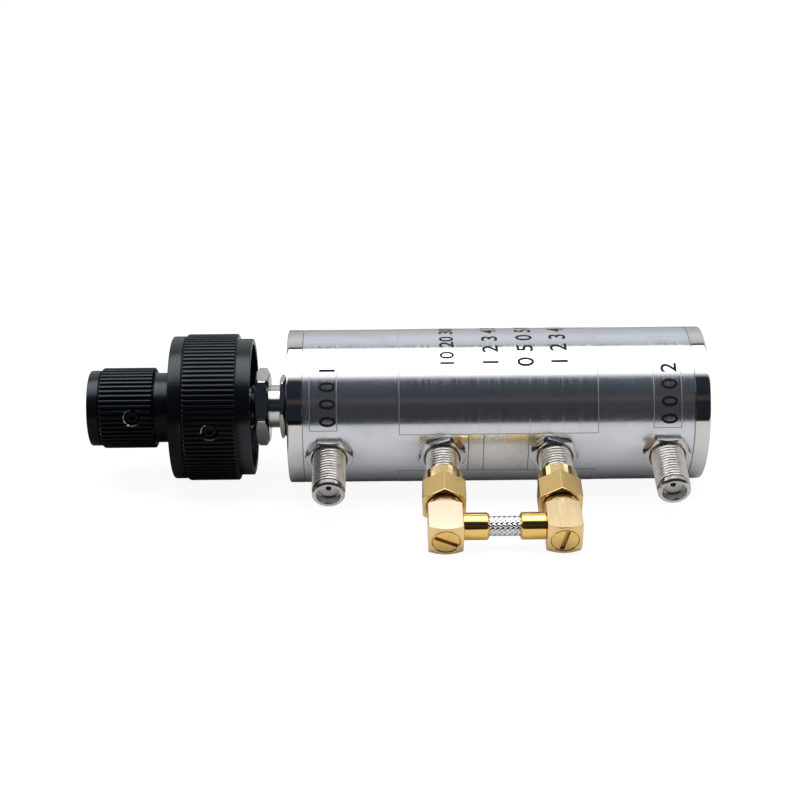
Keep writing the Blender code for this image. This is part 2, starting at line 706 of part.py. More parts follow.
def ball(name, frame):
    mesh = bpy.data.meshes.new(name)
    shape = bmesh.new()
    bmesh.ops.create_uvsphere(shape, u_segments=SMALL_SEGMENTS, v_segments=6, radius=BALL_RADIUS)
    shape.to_mesh(mesh)
    shape.free()
    add_mesh(name, mesh, frame, "shaft_steel", location=(0.0, 0.0, BALL_CENTRE))


def detent(label, block, wheel_start):
    """A sprung ball in a radial hole of the middle block, closed by a threaded plug."""
    frame = radial_frame(f"{label}_detent_axis", wheel_start + WHEEL_THICKNESS / 2, DETENT_ANGLE)
    plug_hole = DETENT_PLUG_RADIUS + TAPPED_GAP
    plug_seat = DETENT_PLUG_BOTTOM - SEAT_GAP
    profile = [
        (0.0, BODY_RADIUS + OVERCUT),
        (plug_hole, BODY_RADIUS + OVERCUT),
        (plug_hole, plug_seat),
        (BALL_HOLE_RADIUS, plug_seat),
        (BALL_HOLE_RADIUS, WHEEL_RADIUS - OVERCUT),
        (0.0, WHEEL_RADIUS - OVERCUT),
    ]
    boolean(block, turned(f"{label}_detent_hole", profile, frame, segments=SMALL_SEGMENTS))
    ball(f"{label}_detent_ball", frame)
    spring(f"{label}_detent_spring", BALL_CENTRE + BALL_RADIUS, DETENT_PLUG_BOTTOM, frame)
    plug = rod(
        f"{label}_detent_plug", DETENT_PLUG_RADIUS, DETENT_PLUG_BOTTOM, DETENT_PLUG_TOP, frame,
        "shaft_steel",
    )
    slot = (3 * DETENT_PLUG_RADIUS, COVER_SCREW_SLOT_WIDTH, 2 * COVER_SCREW_SLOT_DEPTH)
    boolean(plug, box(f"{label}_detent_slot", slot, (0.0, 0.0, DETENT_PLUG_TOP), frame))


def mechanism():
    shafts()
    drum("front_drum", 0, OUTER_SHAFT_RADIUS)
    drum("rear_drum", 2, INNER_SHAFT_RADIUS)
    detent_wheel("front_detent_wheel", FRONT_WHEEL_START, OUTER_SHAFT_RADIUS)
    detent_wheel("rear_detent_wheel", REAR_WHEEL_START, INNER_SHAFT_RADIUS)
    block = middle_block()
    detent("front", block, FRONT_WHEEL_START)
    detent("rear", block, REAR_WHEEL_START)


# Knobs
def knurl(name, ribs, crest, root, rear, front):
    """A straight knurl of V ribs, lofted through sections that chamfer both its ends."""
    end_crest = crest - KNURL_CHAMFER
    sections = (
        (end_crest, rear),
        (crest, rear - KNURL_REAR_TAPER),
        (crest, front + KNURL_FRONT_TAPER),
        (end_crest, front),
    )
    shape = bmesh.new()
    rings = []
    for radius, height in sections:
        ring = []
        for corner in range(2 * ribs):
            turn = math.pi * corner / ribs
            reach = radius if corner % 2 else root
            ring.append(shape.verts.new((reach * math.cos(turn), reach * math.sin(turn), height)))
        rings.append(ring)
    for upper, lower in zip(rings, rings[1:]):
        for corner in range(len(upper)):
            shape.faces.new((lower[corner - 1], lower[corner], upper[corner], upper[corner - 1]))
    shape.faces.new(rings[0])
    shape.faces.new(rings[-1])
    bmesh.ops.recalc_face_normals(shape, faces=shape.faces)
    mesh = bpy.data.meshes.new(name)
    shape.to_mesh(mesh)
    shape.free()
    return add_mesh(name, mesh, SHAFT, None)


def knob(name, rear, neck, grip, flange, ribs, segments, bore_profile):
    """A turned core with a knurled grip between its neck and its front flange.

    neck, grip and flange are (radius, length), from the rear to the front."""
    neck_front = rear - neck[1]
    grip_middle = neck_front - grip[1] / 2
    grip_front = neck_front - grip[1]
    flange_rear = grip_front - UNDERCUT_WIDTH
    front = flange_rear - flange[1]
    undercut = flange[0] - UNDERCUT_DEPTH
    profile = [
        (0.0, rear),
        (neck[0], rear),
        (neck[0], grip_middle),
        (undercut, grip_middle),
        (undercut, flange_rear),
        (flange[0], flange_rear),
        (flange[0], front + KNOB_EDGE_CHAMFER),
        (flange[0] - KNOB_EDGE_CHAMFER, front),
        (0.0, front),
    ]
    piece = turned(name, profile, SHAFT, "black_anodised", segments)
    boolean(piece, knurl(name + "_knurl", ribs, grip[0], flange[0], neck_front, grip_front), "UNION")
    boolean(piece, turned(name + "_bore", bore_profile, SHAFT))
    return piece


def set_screw(name, piece, place, angle, inner, outer):
    """A socket screw below the grip's surface, in its tapped hole through to the shaft."""
    frame = radial_frame(name + "_axis", place, angle)
    hole_floor = inner - SET_SCREW_HOLE_PAST_SHAFT_EDGE
    boolean(piece, rod(name + "_hole", SET_SCREW_HOLE_RADIUS, hole_floor, outer + OVERCUT, frame))
    top = outer - SET_SCREW_RECESS
    bottom = inner + SEAT_GAP
    profile = [
        (0.0, top),
        (SET_SCREW_RADIUS - SET_SCREW_CHAMFER, top),
        (SET_SCREW_RADIUS, top - SET_SCREW_CHAMFER),
        (SET_SCREW_RADIUS, bottom),
        (0.0, bottom),
    ]
    screw = turned(name, profile, frame, "black_oxide", SMALL_SEGMENTS)
    socket_floor = top - SET_SCREW_SOCKET_DEPTH
    boolean(screw, hex_prism(name + "_socket", 2 * SET_SCREW_SOCKET, socket_floor, outer, frame))


def big_knob():
    bore = OUTER_SHAFT_RADIUS + SEAT_GAP
    cup_radius = BIG_KNOB_NECK_RADIUS - BIG_KNOB_CUP_WALL
    cup_floor = BIG_KNOB_REAR - BIG_KNOB_CUP_DEPTH
    bore_floor = OUTER_SHAFT_FRONT - SEAT_GAP
    through = INNER_SHAFT_RADIUS + 3 * RUNNING_GAP
    bore_profile = [
        (0.0, BIG_KNOB_REAR + OVERCUT),
        (cup_radius, BIG_KNOB_REAR + OVERCUT),
        (cup_radius, cup_floor),
        (BIG_KNOB_HUB_RADIUS, cup_floor),
        (BIG_KNOB_HUB_RADIUS, HUB_REAR),
        (bore, HUB_REAR),
        (bore, bore_floor),
        (through, bore_floor),
        (through, BIG_KNOB_FRONT - OVERCUT),
        (0.0, BIG_KNOB_FRONT - OVERCUT),
    ]
    neck = (BIG_KNOB_NECK_RADIUS, BIG_KNOB_NECK_LENGTH)
    grip = (BIG_KNOB_RADIUS, BIG_KNOB_GRIP_LENGTH)
    flange = (BIG_KNOB_FLANGE_RADIUS, BIG_KNOB_FLANGE_LENGTH)
    piece = knob(
        "big_knob", BIG_KNOB_REAR, neck, grip, flange, BIG_KNOB_RIBS, BODY_SEGMENTS, bore_profile
    )
    place = BIG_KNOB_REAR - BIG_KNOB_SCREW_OFFSET
    set_screw(
        "big_knob_screw", piece, place, BIG_KNOB_SCREW_ANGLE, OUTER_SHAFT_RADIUS, BIG_KNOB_RADIUS
    )


def small_knob():
    bore = INNER_SHAFT_RADIUS + SEAT_GAP
    bore_profile = [
        (0.0, SMALL_KNOB_REAR + OVERCUT),
        (bore, SMALL_KNOB_REAR + OVERCUT),
        (bore, INNER_SHAFT_FRONT - SEAT_GAP),
        (0.0, INNER_SHAFT_FRONT - SEAT_GAP),
    ]
    neck = (SMALL_KNOB_NECK_RADIUS, SMALL_KNOB_NECK_LENGTH)
    grip = (SMALL_KNOB_RADIUS, SMALL_KNOB_GRIP_LENGTH)
    flange = (SMALL_KNOB_FLANGE_RADIUS, SMALL_KNOB_FLANGE_LENGTH)
    piece = knob(
        "small_knob", SMALL_KNOB_REAR, neck, grip, flange, SMALL_KNOB_RIBS, BLOCK_SEGMENTS,
        bore_profile,
    )
    place = SMALL_KNOB_REAR - SMALL_KNOB_SCREW_OFFSET
    set_screw(
        "small_knob_screw", piece, place, SMALL_KNOB_SCREW_ANGLE, INNER_SHAFT_RADIUS,
        SMALL_KNOB_RADIUS,
    )


# Threaded coaxial jacks
def jack(number):
    frame = JACK_FRAMES[number]
    name = f"jack_{number + 1}"
    insulator_bore = DIELECTRIC_RADIUS + SEAT_GAP
    profile = [
        (JACK_MOUTH_RADIUS, JACK_TIP),
        (JACK_LIP_RADIUS, JACK_TIP),
        (JACK_THREAD_RADIUS, JACK_TIP - JACK_LIP_CHAMFER),
        (JACK_THREAD_RADIUS, JACK_INNER_END),
        (insulator_bore, JACK_INNER_END),
        (insulator_bore, DIELECTRIC_TOP),
        (JACK_MOUTH_RADIUS, DIELECTRIC_TOP),
    ]
    turned(name + "_shell", profile, frame, "nickel_thread")
    tube(
        name + "_dielectric", CONTACT_RADIUS + SEAT_GAP, DIELECTRIC_RADIUS, JACK_INNER_END,
        DIELECTRIC_TOP, frame, "white_dielectric", SMALL_SEGMENTS,
    )
    contact_end = DRUM_RADIUS + CONTACT_WIPE_GAP
    socket_floor = DIELECTRIC_TOP - CONTACT_SOCKET_DEPTH
    profile = [
        (0.0, socket_floor),
        (CONTACT_SOCKET_RADIUS, socket_floor),
        (CONTACT_SOCKET_RADIUS, DIELECTRIC_TOP),
        (CONTACT_RADIUS, DIELECTRIC_TOP),
        (CONTACT_RADIUS, contact_end + CONTACT_TIP_LENGTH),
        (CONTACT_TIP_RADIUS, contact_end),
        (0.0, contact_end),
    ]
    turned(name + "_contact", profile, frame, "polished_gold", SMALL_SEGMENTS)
    nut_bottom = SPOT_FACE_HEIGHT + SEAT_GAP
    hex_nut(
        name + "_nut", JACK_NUT_ACROSS_FLATS, JACK_THREAD_RADIUS + TAPPED_GAP, nut_bottom,
        nut_bottom + JACK_NUT_THICKNESS, frame, "polished_nickel", JACK_NUT_TURNS[number],
    )


# Jumper
def coupling_nut(name, frame):
    flat = COUPLING_ACROSS_FLATS / 2
    corner = flat / math.cos(math.pi / 6) + OVERCUT
    drop = chamfer_drop(corner, flat)
    thread = JACK_THREAD_RADIUS + RUNNING_GAP
    profile = [
        (COUPLING_REAR_BORE_RADIUS, COUPLING_END),
        (flat, COUPLING_END),
        (corner, COUPLING_END - drop),
        (corner, COUPLING_HEX_START + drop),
        (COUPLING_COLLAR_RADIUS, COUPLING_HEX_START),
        (COUPLING_COLLAR_RADIUS, COUPLING_START + EDGE_CHAMFER),
        (COUPLING_COLLAR_RADIUS - EDGE_CHAMFER, COUPLING_START),
        (thread, COUPLING_START),
        (thread, COUPLING_STEP_START),
        (COUPLING_STEP_RADIUS, COUPLING_STEP_START),
        (COUPLING_STEP_RADIUS, COUPLING_STEP_END),
        (COUPLING_REAR_BORE_RADIUS, COUPLING_STEP_END),
    ]
    nut = turned(name, profile, frame, "polished_gold")
    flats = hex_prism(
        name + "_flats", COUPLING_ACROSS_FLATS, COUPLING_START - OVERCUT, COUPLING_END + OVERCUT,
        frame, 30.0,
    )
    boolean(nut, flats, "INTERSECT")


def elbow_stem(name, frame):
    """The stem inside the coupling nut: sleeve, trapped flange and neck, bored for the pin."""
    bore = PLUG_PIN_RADIUS + SEAT_GAP
    shank = COUPLING_STEP_RADIUS - RUNNING_GAP
    profile = [
        (bore, ELBOW_START + ELBOW_NECK_LENGTH / 2),
        (ELBOW_NECK_RADIUS, ELBOW_START + ELBOW_NECK_LENGTH / 2),
        (ELBOW_NECK_RADIUS, COUPLING_STEP_END + RUNNING_GAP),
        (shank, COUPLING_STEP_END + RUNNING_GAP),
        (shank, COUPLING_STEP_START - RUNNING_GAP),
        (ELBOW_FLANGE_RADIUS, COUPLING_STEP_START - RUNNING_GAP),
        (ELBOW_FLANGE_RADIUS, JACK_TIP + RUNNING_GAP),
        (ELBOW_SLEEVE_RADIUS, JACK_TIP + RUNNING_GAP),
        (ELBOW_SLEEVE_RADIUS, DIELECTRIC_TOP + SEAT_GAP),
        (bore, DIELECTRIC_TOP + SEAT_GAP),
    ]
    return turned(name, profile, frame, segments=SHAFT_SEGMENTS)


def elbow(name, frame):
    """A square block trimmed by cones at both ends, joined to its turned stem."""
    corner = ELBOW_WIDTH / math.sqrt(2) + OVERCUT
    drop = (corner - ELBOW_END_RADIUS) * math.tan(math.radians(ELBOW_END_SLOPE))
    profile = [
        (0.0, ELBOW_END),
        (ELBOW_END_RADIUS, ELBOW_END),
        (corner, ELBOW_END - drop),
        (corner, ELBOW_START + drop),
        (ELBOW_END_RADIUS, ELBOW_START),
        (0.0, ELBOW_START),
    ]
    block = turned(name, profile, frame, "polished_gold", BLOCK_SEGMENTS)
    square = box(
        name + "_square", (ELBOW_WIDTH, ELBOW_WIDTH, 2 * ELBOW_LENGTH),
        (0.0, 0.0, (ELBOW_START + ELBOW_END) / 2), frame,
    )
    boolean(block, square, "INTERSECT")
    boolean(block, elbow_stem(name + "_stem", frame), "UNION")
    seat = END_PLUG_RADIUS + SEAT_GAP
    floor = ELBOW_END - END_PLUG_THICKNESS - SEAT_GAP
    pocket = rod(
        name + "_plug_seat", seat, floor, ELBOW_END + OVERCUT, frame, segments=JACK_SEGMENTS
    )
    boolean(block, pocket)


def end_plug(name, frame, slot_turn):
    """The slotted cap over the solder joint, flush with the elbow's end."""
    bottom = ELBOW_END - END_PLUG_THICKNESS
    plug = rod(
        name, END_PLUG_RADIUS, bottom, ELBOW_END - SEAT_GAP, frame, "polished_gold", JACK_SEGMENTS
    )
    size = (1.9 * END_PLUG_RADIUS, END_PLUG_SLOT_WIDTH, 2 * END_PLUG_SLOT_DEPTH)
    boolean(plug, box(name + "_slot", size, (0.0, 0.0, ELBOW_END - SEAT_GAP), frame, slot_turn))


def plug_pin(name, frame):
    tip = DIELECTRIC_TOP - PLUG_PIN_REACH
    chamfer = PLUG_PIN_RADIUS / 2
    profile = [
        (0.0, tip + PLUG_PIN_LENGTH),
        (PLUG_PIN_RADIUS, tip + PLUG_PIN_LENGTH),
        (PLUG_PIN_RADIUS, tip + chamfer),
        (PLUG_PIN_RADIUS - chamfer, tip),
        (0.0, tip),
    ]
    turned(name, profile, frame, "polished_gold", SMALL_SEGMENTS)


def ferrule(name, frame, side):
    """The crimp ferrule on the elbow's side, tapered at the cable's end."""
    axis = new_frame(name + "_axis", frame, (0.0, 0.0, CABLE_HEIGHT), (0.0, side * math.pi / 2, 0.0))
    bore = CABLE_RADIUS + SEAT_GAP
    profile = [
        (bore, FERRULE_END),
        (FERRULE_RADIUS - FERRULE_TAPER, FERRULE_END),
        (FERRULE_RADIUS, FERRULE_END - FERRULE_TAPER),
        (FERRULE_RADIUS, FERRULE_START),
        (bore, FERRULE_START),
    ]
    turned(name, profile, axis, "polished_gold")


def cable():
    """The braided cable, held at both ends by the ferrules."""
    length = JACK_PLACES[2] - JACK_PLACES[1] - 2 * FERRULE_START
    frame = JACK_FRAMES[1]
    curve = bpy.data.curves.new("jumper_cable", "CURVE")
    curve.dimensions = "3D"
    curve.bevel_depth = CABLE_RADIUS
    curve.bevel_resolution = 4
    curve.use_fill_caps = True
    route = curve.splines.new("POLY")
    route.points.add(1)
    route.points[0].co = (FERRULE_START, 0.0, CABLE_HEIGHT, 1.0)
    route.points[1].co = (FERRULE_START + length, 0.0, CABLE_HEIGHT, 1.0)
    add_mesh("jumper_cable", curve, frame, "tinned_braid")


def jumper():
    ends = (("left", JACK_FRAMES[1], 1, -26.0), ("right", JACK_FRAMES[2], -1, 77.0))
    for label, frame, side, slot_turn in ends:
        coupling_nut(f"{label}_coupling_nut", frame)
        elbow(f"{label}_elbow", frame)
        end_plug(f"{label}_end_plug", frame, slot_turn)
        plug_pin(f"{label}_plug_pin", frame)
        ferrule(f"{label}_ferrule", frame, side)
    cable()


JACK_FRAMES = [radial_frame(f"jack_axis_{n + 1}", place, 0.0) for n, place in enumerate(JACK_PLACES)]
housing()
panel_hardware()
mechanism()
big_knob()
small_knob()
for jack_number in range(len(JACK_PLACES)):
    jack(jack_number)
jumper()
for finished_piece in PARTS.objects:
    if finished_piece.modifiers:
        weld(finished_piece)
bpy.context.view_layer.update()
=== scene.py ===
# Looks of the rotary RF step attenuator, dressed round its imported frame.
# Shapes are drawn in millimetres and put in their place by one matrix each.
import json
import math

import bmesh
import bpy
from mathutils import Matrix, Vector


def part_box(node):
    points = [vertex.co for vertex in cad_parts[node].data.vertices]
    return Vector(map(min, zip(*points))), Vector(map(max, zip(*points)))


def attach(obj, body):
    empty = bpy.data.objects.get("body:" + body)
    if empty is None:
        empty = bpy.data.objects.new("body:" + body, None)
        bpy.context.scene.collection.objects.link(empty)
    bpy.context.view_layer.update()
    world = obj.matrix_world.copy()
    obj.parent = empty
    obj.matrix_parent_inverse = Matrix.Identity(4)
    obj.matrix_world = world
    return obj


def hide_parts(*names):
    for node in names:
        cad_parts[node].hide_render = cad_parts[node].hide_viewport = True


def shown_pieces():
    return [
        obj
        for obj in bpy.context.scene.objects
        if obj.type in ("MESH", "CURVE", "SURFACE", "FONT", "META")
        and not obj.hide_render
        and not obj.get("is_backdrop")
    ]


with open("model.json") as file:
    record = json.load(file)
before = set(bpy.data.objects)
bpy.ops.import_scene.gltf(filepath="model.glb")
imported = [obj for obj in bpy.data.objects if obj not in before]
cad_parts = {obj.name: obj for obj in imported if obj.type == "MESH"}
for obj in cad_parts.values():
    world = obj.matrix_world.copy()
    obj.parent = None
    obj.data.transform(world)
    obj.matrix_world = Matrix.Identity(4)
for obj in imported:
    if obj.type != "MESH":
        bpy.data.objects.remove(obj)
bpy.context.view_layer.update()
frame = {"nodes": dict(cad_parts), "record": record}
print("stage: frame loaded,", len(frame["nodes"]), "nodes")

# where things are, read from the frame
coverLow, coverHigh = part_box("rear_cover")
shaftOrigin = Vector((
    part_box("front_cover")[0].x, (coverLow.y + coverHigh.y) / 2, (coverLow.z + coverHigh.z) / 2,
))
mountsByName = {mount["name"]: mount for mount in frame["record"]["mounts"]}
jackWay = Vector(mountsByName["jack_1_mouth"]["axis"])
shaftWay = (1.0, 0.0, 0.0)
lying = Matrix.Rotation(math.atan2(-jackWay.z, -jackWay.y), 4, "X")
millimetres = Matrix.Scale(0.001, 4)
micrometre = 0.000001
hair = 0.0005  # millimetres: corners closer than this are one


def turned(degrees, axis):
    return Matrix.Rotation(math.radians(degrees), 4, axis)


def moved(x=0.0, y=0.0, z=0.0):
    return Matrix.Translation((x, y, z))


# the shaft's own frame: Z runs back along it, from the housing's front face
shaftPlace = moved(*shaftOrigin) @ lying @ turned(90, "Y") @ millimetres


def radialPlace(along, angle=0.0):
    # Z points away from the shaft, at an angle from the jacks towards the top
    return moved(*shaftOrigin) @ lying @ millimetres @ moved(along) @ turned(90 - angle, "X")


def intoRadial(along, angle=0.0):
    # the same way out, seen in the shaft's own frame
    return moved(z=along) @ turned(270 - angle, "Z") @ turned(90, "Y")


# modelling helpers
def tidyFaces(shape):
    bmesh.ops.remove_doubles(shape, verts=shape.verts, dist=hair)
    bmesh.ops.recalc_face_normals(shape, faces=shape.faces)


def drawn(outline, closed=False):
    # a line through points of (radius, height)
    shape = bmesh.new()
    corners = [shape.verts.new((radius, 0, height)) for radius, height in outline]
    following = corners[1:] + corners[:1] if closed else corners[1:]
    for pair in zip(corners, following):
        shape.edges.new(pair)
    return shape


def turnRound(shape, steps, climb=0.0, angle=math.tau, way=1, merge=False):
    bmesh.ops.spin(
        shape, geom=shape.verts[:] + shape.edges[:], cent=(0, 0, 0), axis=(0, 0, way),
        dvec=(0, 0, climb), angle=angle, steps=steps, use_merge=merge, use_duplicate=False,
    )


def spun(outline, steps=96):
    # an outline turned once round Z, and closed where it keeps off the axis
    shape = drawn(outline, closed=outline[0][0] > 0)
    turnRound(shape, steps, merge=True)
    tidyFaces(shape)
    return shape


def roundEdges(shape, edges, width, segments):
    bmesh.ops.bevel(
        shape, geom=edges, offset=width, offset_type="OFFSET", segments=segments, profile=0.5,
        affect="EDGES", clamp_overlap=True, material=-1,
    )


def roundSharp(shape, width, above=20):
    # rounds every edge whose faces meet at more than the angle
    sharp = [
        edge for edge in shape.edges
        if len(edge.link_faces) == 2 and math.radians(above) < edge.calc_face_angle() < math.pi
    ]
    roundEdges(shape, sharp, width, 2)


def roundUpright(shape, width):
    upright = [
        edge for edge in shape.edges if abs(edge.verts[0].co.z - edge.verts[1].co.z) > 0.1
    ]
    roundEdges(shape, upright, width, 3)


def carve(shape, tool, operation="DIFFERENCE"):
    # one boolean between two shapes, both used up by it
    blocks = []
    for part in (shape, tool):
        mesh = bpy.data.meshes.new("carving")
        for unused in range(2):
            mesh.materials.append(None)
        part.to_mesh(mesh)
        part.free()
        block = bpy.data.objects.new("carving", mesh)
        bpy.context.scene.collection.objects.link(block)
        blocks.append(block)
    step = blocks[0].modifiers.new("carve", "BOOLEAN")
    step.operation = operation
    step.solver = "EXACT"
    step.object = blocks[1]
    evaluated = blocks[0].evaluated_get(bpy.context.evaluated_depsgraph_get())
    result = bpy.data.meshes.new_from_object(evaluated)
    carved = bmesh.new()
    carved.from_mesh(result)
    for block in blocks:
        mesh = block.data
        bpy.data.objects.remove(block)
        bpy.data.meshes.remove(mesh)
    bpy.data.meshes.remove(result)
    return carved


def carveAt(shape, tool, place):
    bmesh.ops.transform(tool, matrix=place, verts=tool.verts)
    return carve(shape, tool)


def sawBlade(length, width, depth, turn, top=0.0):
    # a block for a slot that reaches as deep below the top
    blade = bmesh.new()
    size = Matrix.Diagonal((length, width, 2 * depth, 1))
    bmesh.ops.create_cube(blade, size=1.0, matrix=moved(z=top) @ turned(turn, "Z") @ size)
    return blade


def hexBar(acrossFlats, bottom, top, turn=0.0, rounding=0.1):
    # a six-sided bar, with a corner on X before its turn
    bar = bmesh.new()
    corner = acrossFlats / 2 / math.cos(math.pi / 6)
    bmesh.ops.create_cone(
        bar, cap_ends=True, segments=6, radius1=corner, radius2=corner, depth=top - bottom,
    )
    roundUpright(bar, rounding)
    place = moved(z=(top + bottom) / 2) @ turned(turn + 30, "Z")
    bmesh.ops.transform(bar, matrix=place, verts=bar.verts)
    return bar


def hexNut(nut, turn):
    # a nut with both ends turned to a cone and a countersunk bore
    bottom, top, bore, sink = (nut[key] for key in ("bottom", "top", "bore", "countersink"))
    flat = nut["acrossFlats"] / 2
    corner, face = flat / math.cos(math.pi / 6) + 0.4, flat * 0.97
    drop = min((corner - face) * math.tan(math.radians(30)), (top - bottom) * 0.45)
    ring = spun([
        (bore + sink, top), (face, top), (corner, top - drop), (corner, bottom + drop),
        (face, bottom), (bore + sink, bottom), (bore, bottom + sink), (bore, top - sink),
    ])
    bar = hexBar(nut["acrossFlats"], bottom - 1, top + 1, turn, nut["rounding"])
    return carve(ring, bar, "INTERSECT")


def cornersOf(geometry):
    return [part for part in geometry if isinstance(part, bmesh.types.BMVert)]


def freeEdges(geometry):
    return [
        part for part in geometry
        if isinstance(part, bmesh.types.BMEdge) and len(part.link_faces) == 1
    ]


def openRing(shape, height):
    # the free edges that lie at one height
    return [
        edge for edge in freeEdges(shape.edges)
        if all(abs(corner.co.z - height) < 0.01 for corner in edge.verts)
    ]


def extendRing(shape, ring, outline):
    # carries an open ring of edges on through circles of (radius, height)
    for radius, height in outline:
        made = bmesh.ops.extrude_edge_only(shape, edges=ring)["geom"]
        for corner in cornersOf(made):
            flat = corner.co.xy.normalized() * radius
            corner.co = (flat.x, flat.y, height)
        ring = freeEdges(made)
    return ring


def cutAcross(shape, spot, way, clear=False):
    everything = shape.verts[:] + shape.edges[:] + shape.faces[:]
    bmesh.ops.bisect_plane(
        shape, geom=everything, dist=hair, plane_co=spot, plane_no=way, clear_outer=clear,
    )


def threadedTube(thread):
    # one outline of ridges, turned once while it climbs by its pitch
    root, crest, pitch = thread["root"], thread["crest"], thread["pitch"]
    bottom, top, steps = thread["bottom"], thread["top"], thread["steps"]
    flank = (crest - root) * math.tan(math.radians(30))
    land = (pitch - 2 * flank) / 2
    turns = math.ceil((top - bottom) / pitch) + 2
    outline = []
    for number in range(turns):
        start = bottom + (number - 1.5) * pitch
        rise = start + land * 1.1
        outline += [(root, start), (root, rise), (crest, rise + flank)]
        outline.append((crest, start + land * 2 + flank))
    outline.append((root, bottom + (turns - 1.5) * pitch))
    shape = drawn(outline)
    turnRound(shape, steps, climb=pitch / steps)
    bmesh.ops.remove_doubles(shape, verts=shape.verts, dist=4 * hair)
    cutAcross(shape, (0, 0, top), (0, 0, 1), clear=True)
    cutAcross(shape, (0, 0, bottom), (0, 0, -1), clear=True)
    # both ends run on through their own outlines until they meet
    ends = extendRing(shape, openRing(shape, top), thread["fromTop"])
    ends += extendRing(shape, openRing(shape, bottom), thread["fromBottom"])
    bmesh.ops.bridge_loops(shape, edges=ends)
    return shape


def finishPiece(shape, name, place, looks, node=None, body="housing", smoothBelow=28):
    # puts a drawn shape in its place, to ride on its body and stand for its node
    tidyFaces(shape)
    bmesh.ops.transform(shape, matrix=place, verts=shape.verts)
    for face in shape.faces:
        face.smooth = True
    mesh = bpy.data.meshes.new(name)
    shape.to_mesh(mesh)
    shape.free()
    mesh.set_sharp_from_angle(angle=math.radians(smoothBelow))
    for look in [looks] if isinstance(looks, str) else looks:
        mesh.materials.append(finish[look])
    piece = bpy.data.objects.new(name, mesh)
    bpy.context.scene.collection.objects.link(piece)
    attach(piece, body)
    if node:
        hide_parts(node)


# shader helpers
def addNode(tree, kind, inputs=None, **settings):
    made = tree.nodes.new("ShaderNode" + kind)
    for key, value in settings.items():
        setattr(made, key, value)
    for key, value in (inputs or {}).items():
        if isinstance(value, bpy.types.NodeSocket):
            tree.links.new(value, made.inputs[key])
        else:
            made.inputs[key].default_value = value
    return made


def multiplied(tree, first, second):
    return addNode(tree, "Math", {0: first, 1: second}, operation="MULTIPLY").outputs[0]


def blended(tree, share, first, second):
    return addNode(tree, "Mix", {0: share, 2: first, 3: second}, data_type="FLOAT").outputs[0]


def blendColors(tree, share, first, second):
    first, second = (
        (*color, 1) if isinstance(color, tuple) else color for color in (first, second)
    )
    return addNode(tree, "Mix", {0: share, 6: first, 7: second}, data_type="RGBA").outputs[2]


def ranged(tree, value, low, high, fromLow, fromHigh, **settings):
    return addNode(tree, "MapRange", {
        "Value": value, "From Min": fromLow, "From Max": fromHigh, "To Min": low, "To Max": high,
    }, **settings).outputs["Result"]


def newMaterial(name):
    material = bpy.data.materials.new(name)
    material.use_nodes = True
    return material, material.node_tree, material.node_tree.nodes["Principled BSDF"]


def newGroup(name, inputs):
    # a node group with one output, Value
    tree = bpy.data.node_groups.new(name, "ShaderNodeTree")
    for label, value in inputs.items():
        kind = "NodeSocketVector" if isinstance(value, tuple) else "NodeSocketFloat"
        socket = tree.interface.new_socket(label, in_out="INPUT", socket_type=kind)
        socket.default_value = value
    tree.interface.new_socket("Value", in_out="OUTPUT", socket_type="NodeSocketFloat")
    return tree, tree.nodes.new("NodeGroupInput").outputs, tree.nodes.new("NodeGroupOutput")


def makeTurningLines():
    # fine lines that run round an axis, as a lathe or a brush leaves them
    tree, given, out = newGroup("turning lines", {
        "Vector": (0, 0, 0), "Axis": shaftWay, "Lines": 5000.0, "Drift": 60.0,
    })
    along = addNode(
        tree, "VectorMath", {0: given["Vector"], 1: given["Axis"]}, operation="DOT_PRODUCT",
    )
    packed = multiplied(tree, along.outputs["Value"], given["Lines"])
    drift = addNode(
        tree, "VectorMath", {0: given["Vector"], "Scale": given["Drift"]}, operation="SCALE",
    )
    line = addNode(tree, "CombineXYZ", {"X": packed})
    place = addNode(
        tree, "VectorMath", {0: drift.outputs[0], 1: line.outputs[0]}, operation="ADD",
    )
    noise = addNode(tree, "TexNoise", {
        "Vector": place.outputs[0], "Scale": 1.0, "Detail": 4.0, "Roughness": 0.62,
    })
    tree.links.new(noise.outputs["Fac"], out.inputs["Value"])
    return tree


def makePatches():
    # soft uneven patches: handling marks, stain, uneven plating
    tree, given, out = newGroup("uneven patches", {
        "Vector": (0, 0, 0), "Scale": 200.0, "From": 0.35, "To": 0.65,
    })
    noise = addNode(tree, "TexNoise", {
        "Vector": given["Vector"], "Scale": given["Scale"], "Detail": 5.0, "Roughness": 0.6,
        "Distortion": 0.4,
    })
    spread = ranged(
        tree, noise.outputs["Fac"], 0.0, 1.0, given["From"], given["To"],
        interpolation_type="SMOOTHSTEP",
    )
    tree.links.new(spread, out.inputs["Value"])
    return tree


turningLines = makeTurningLines()
patches = makePatches()

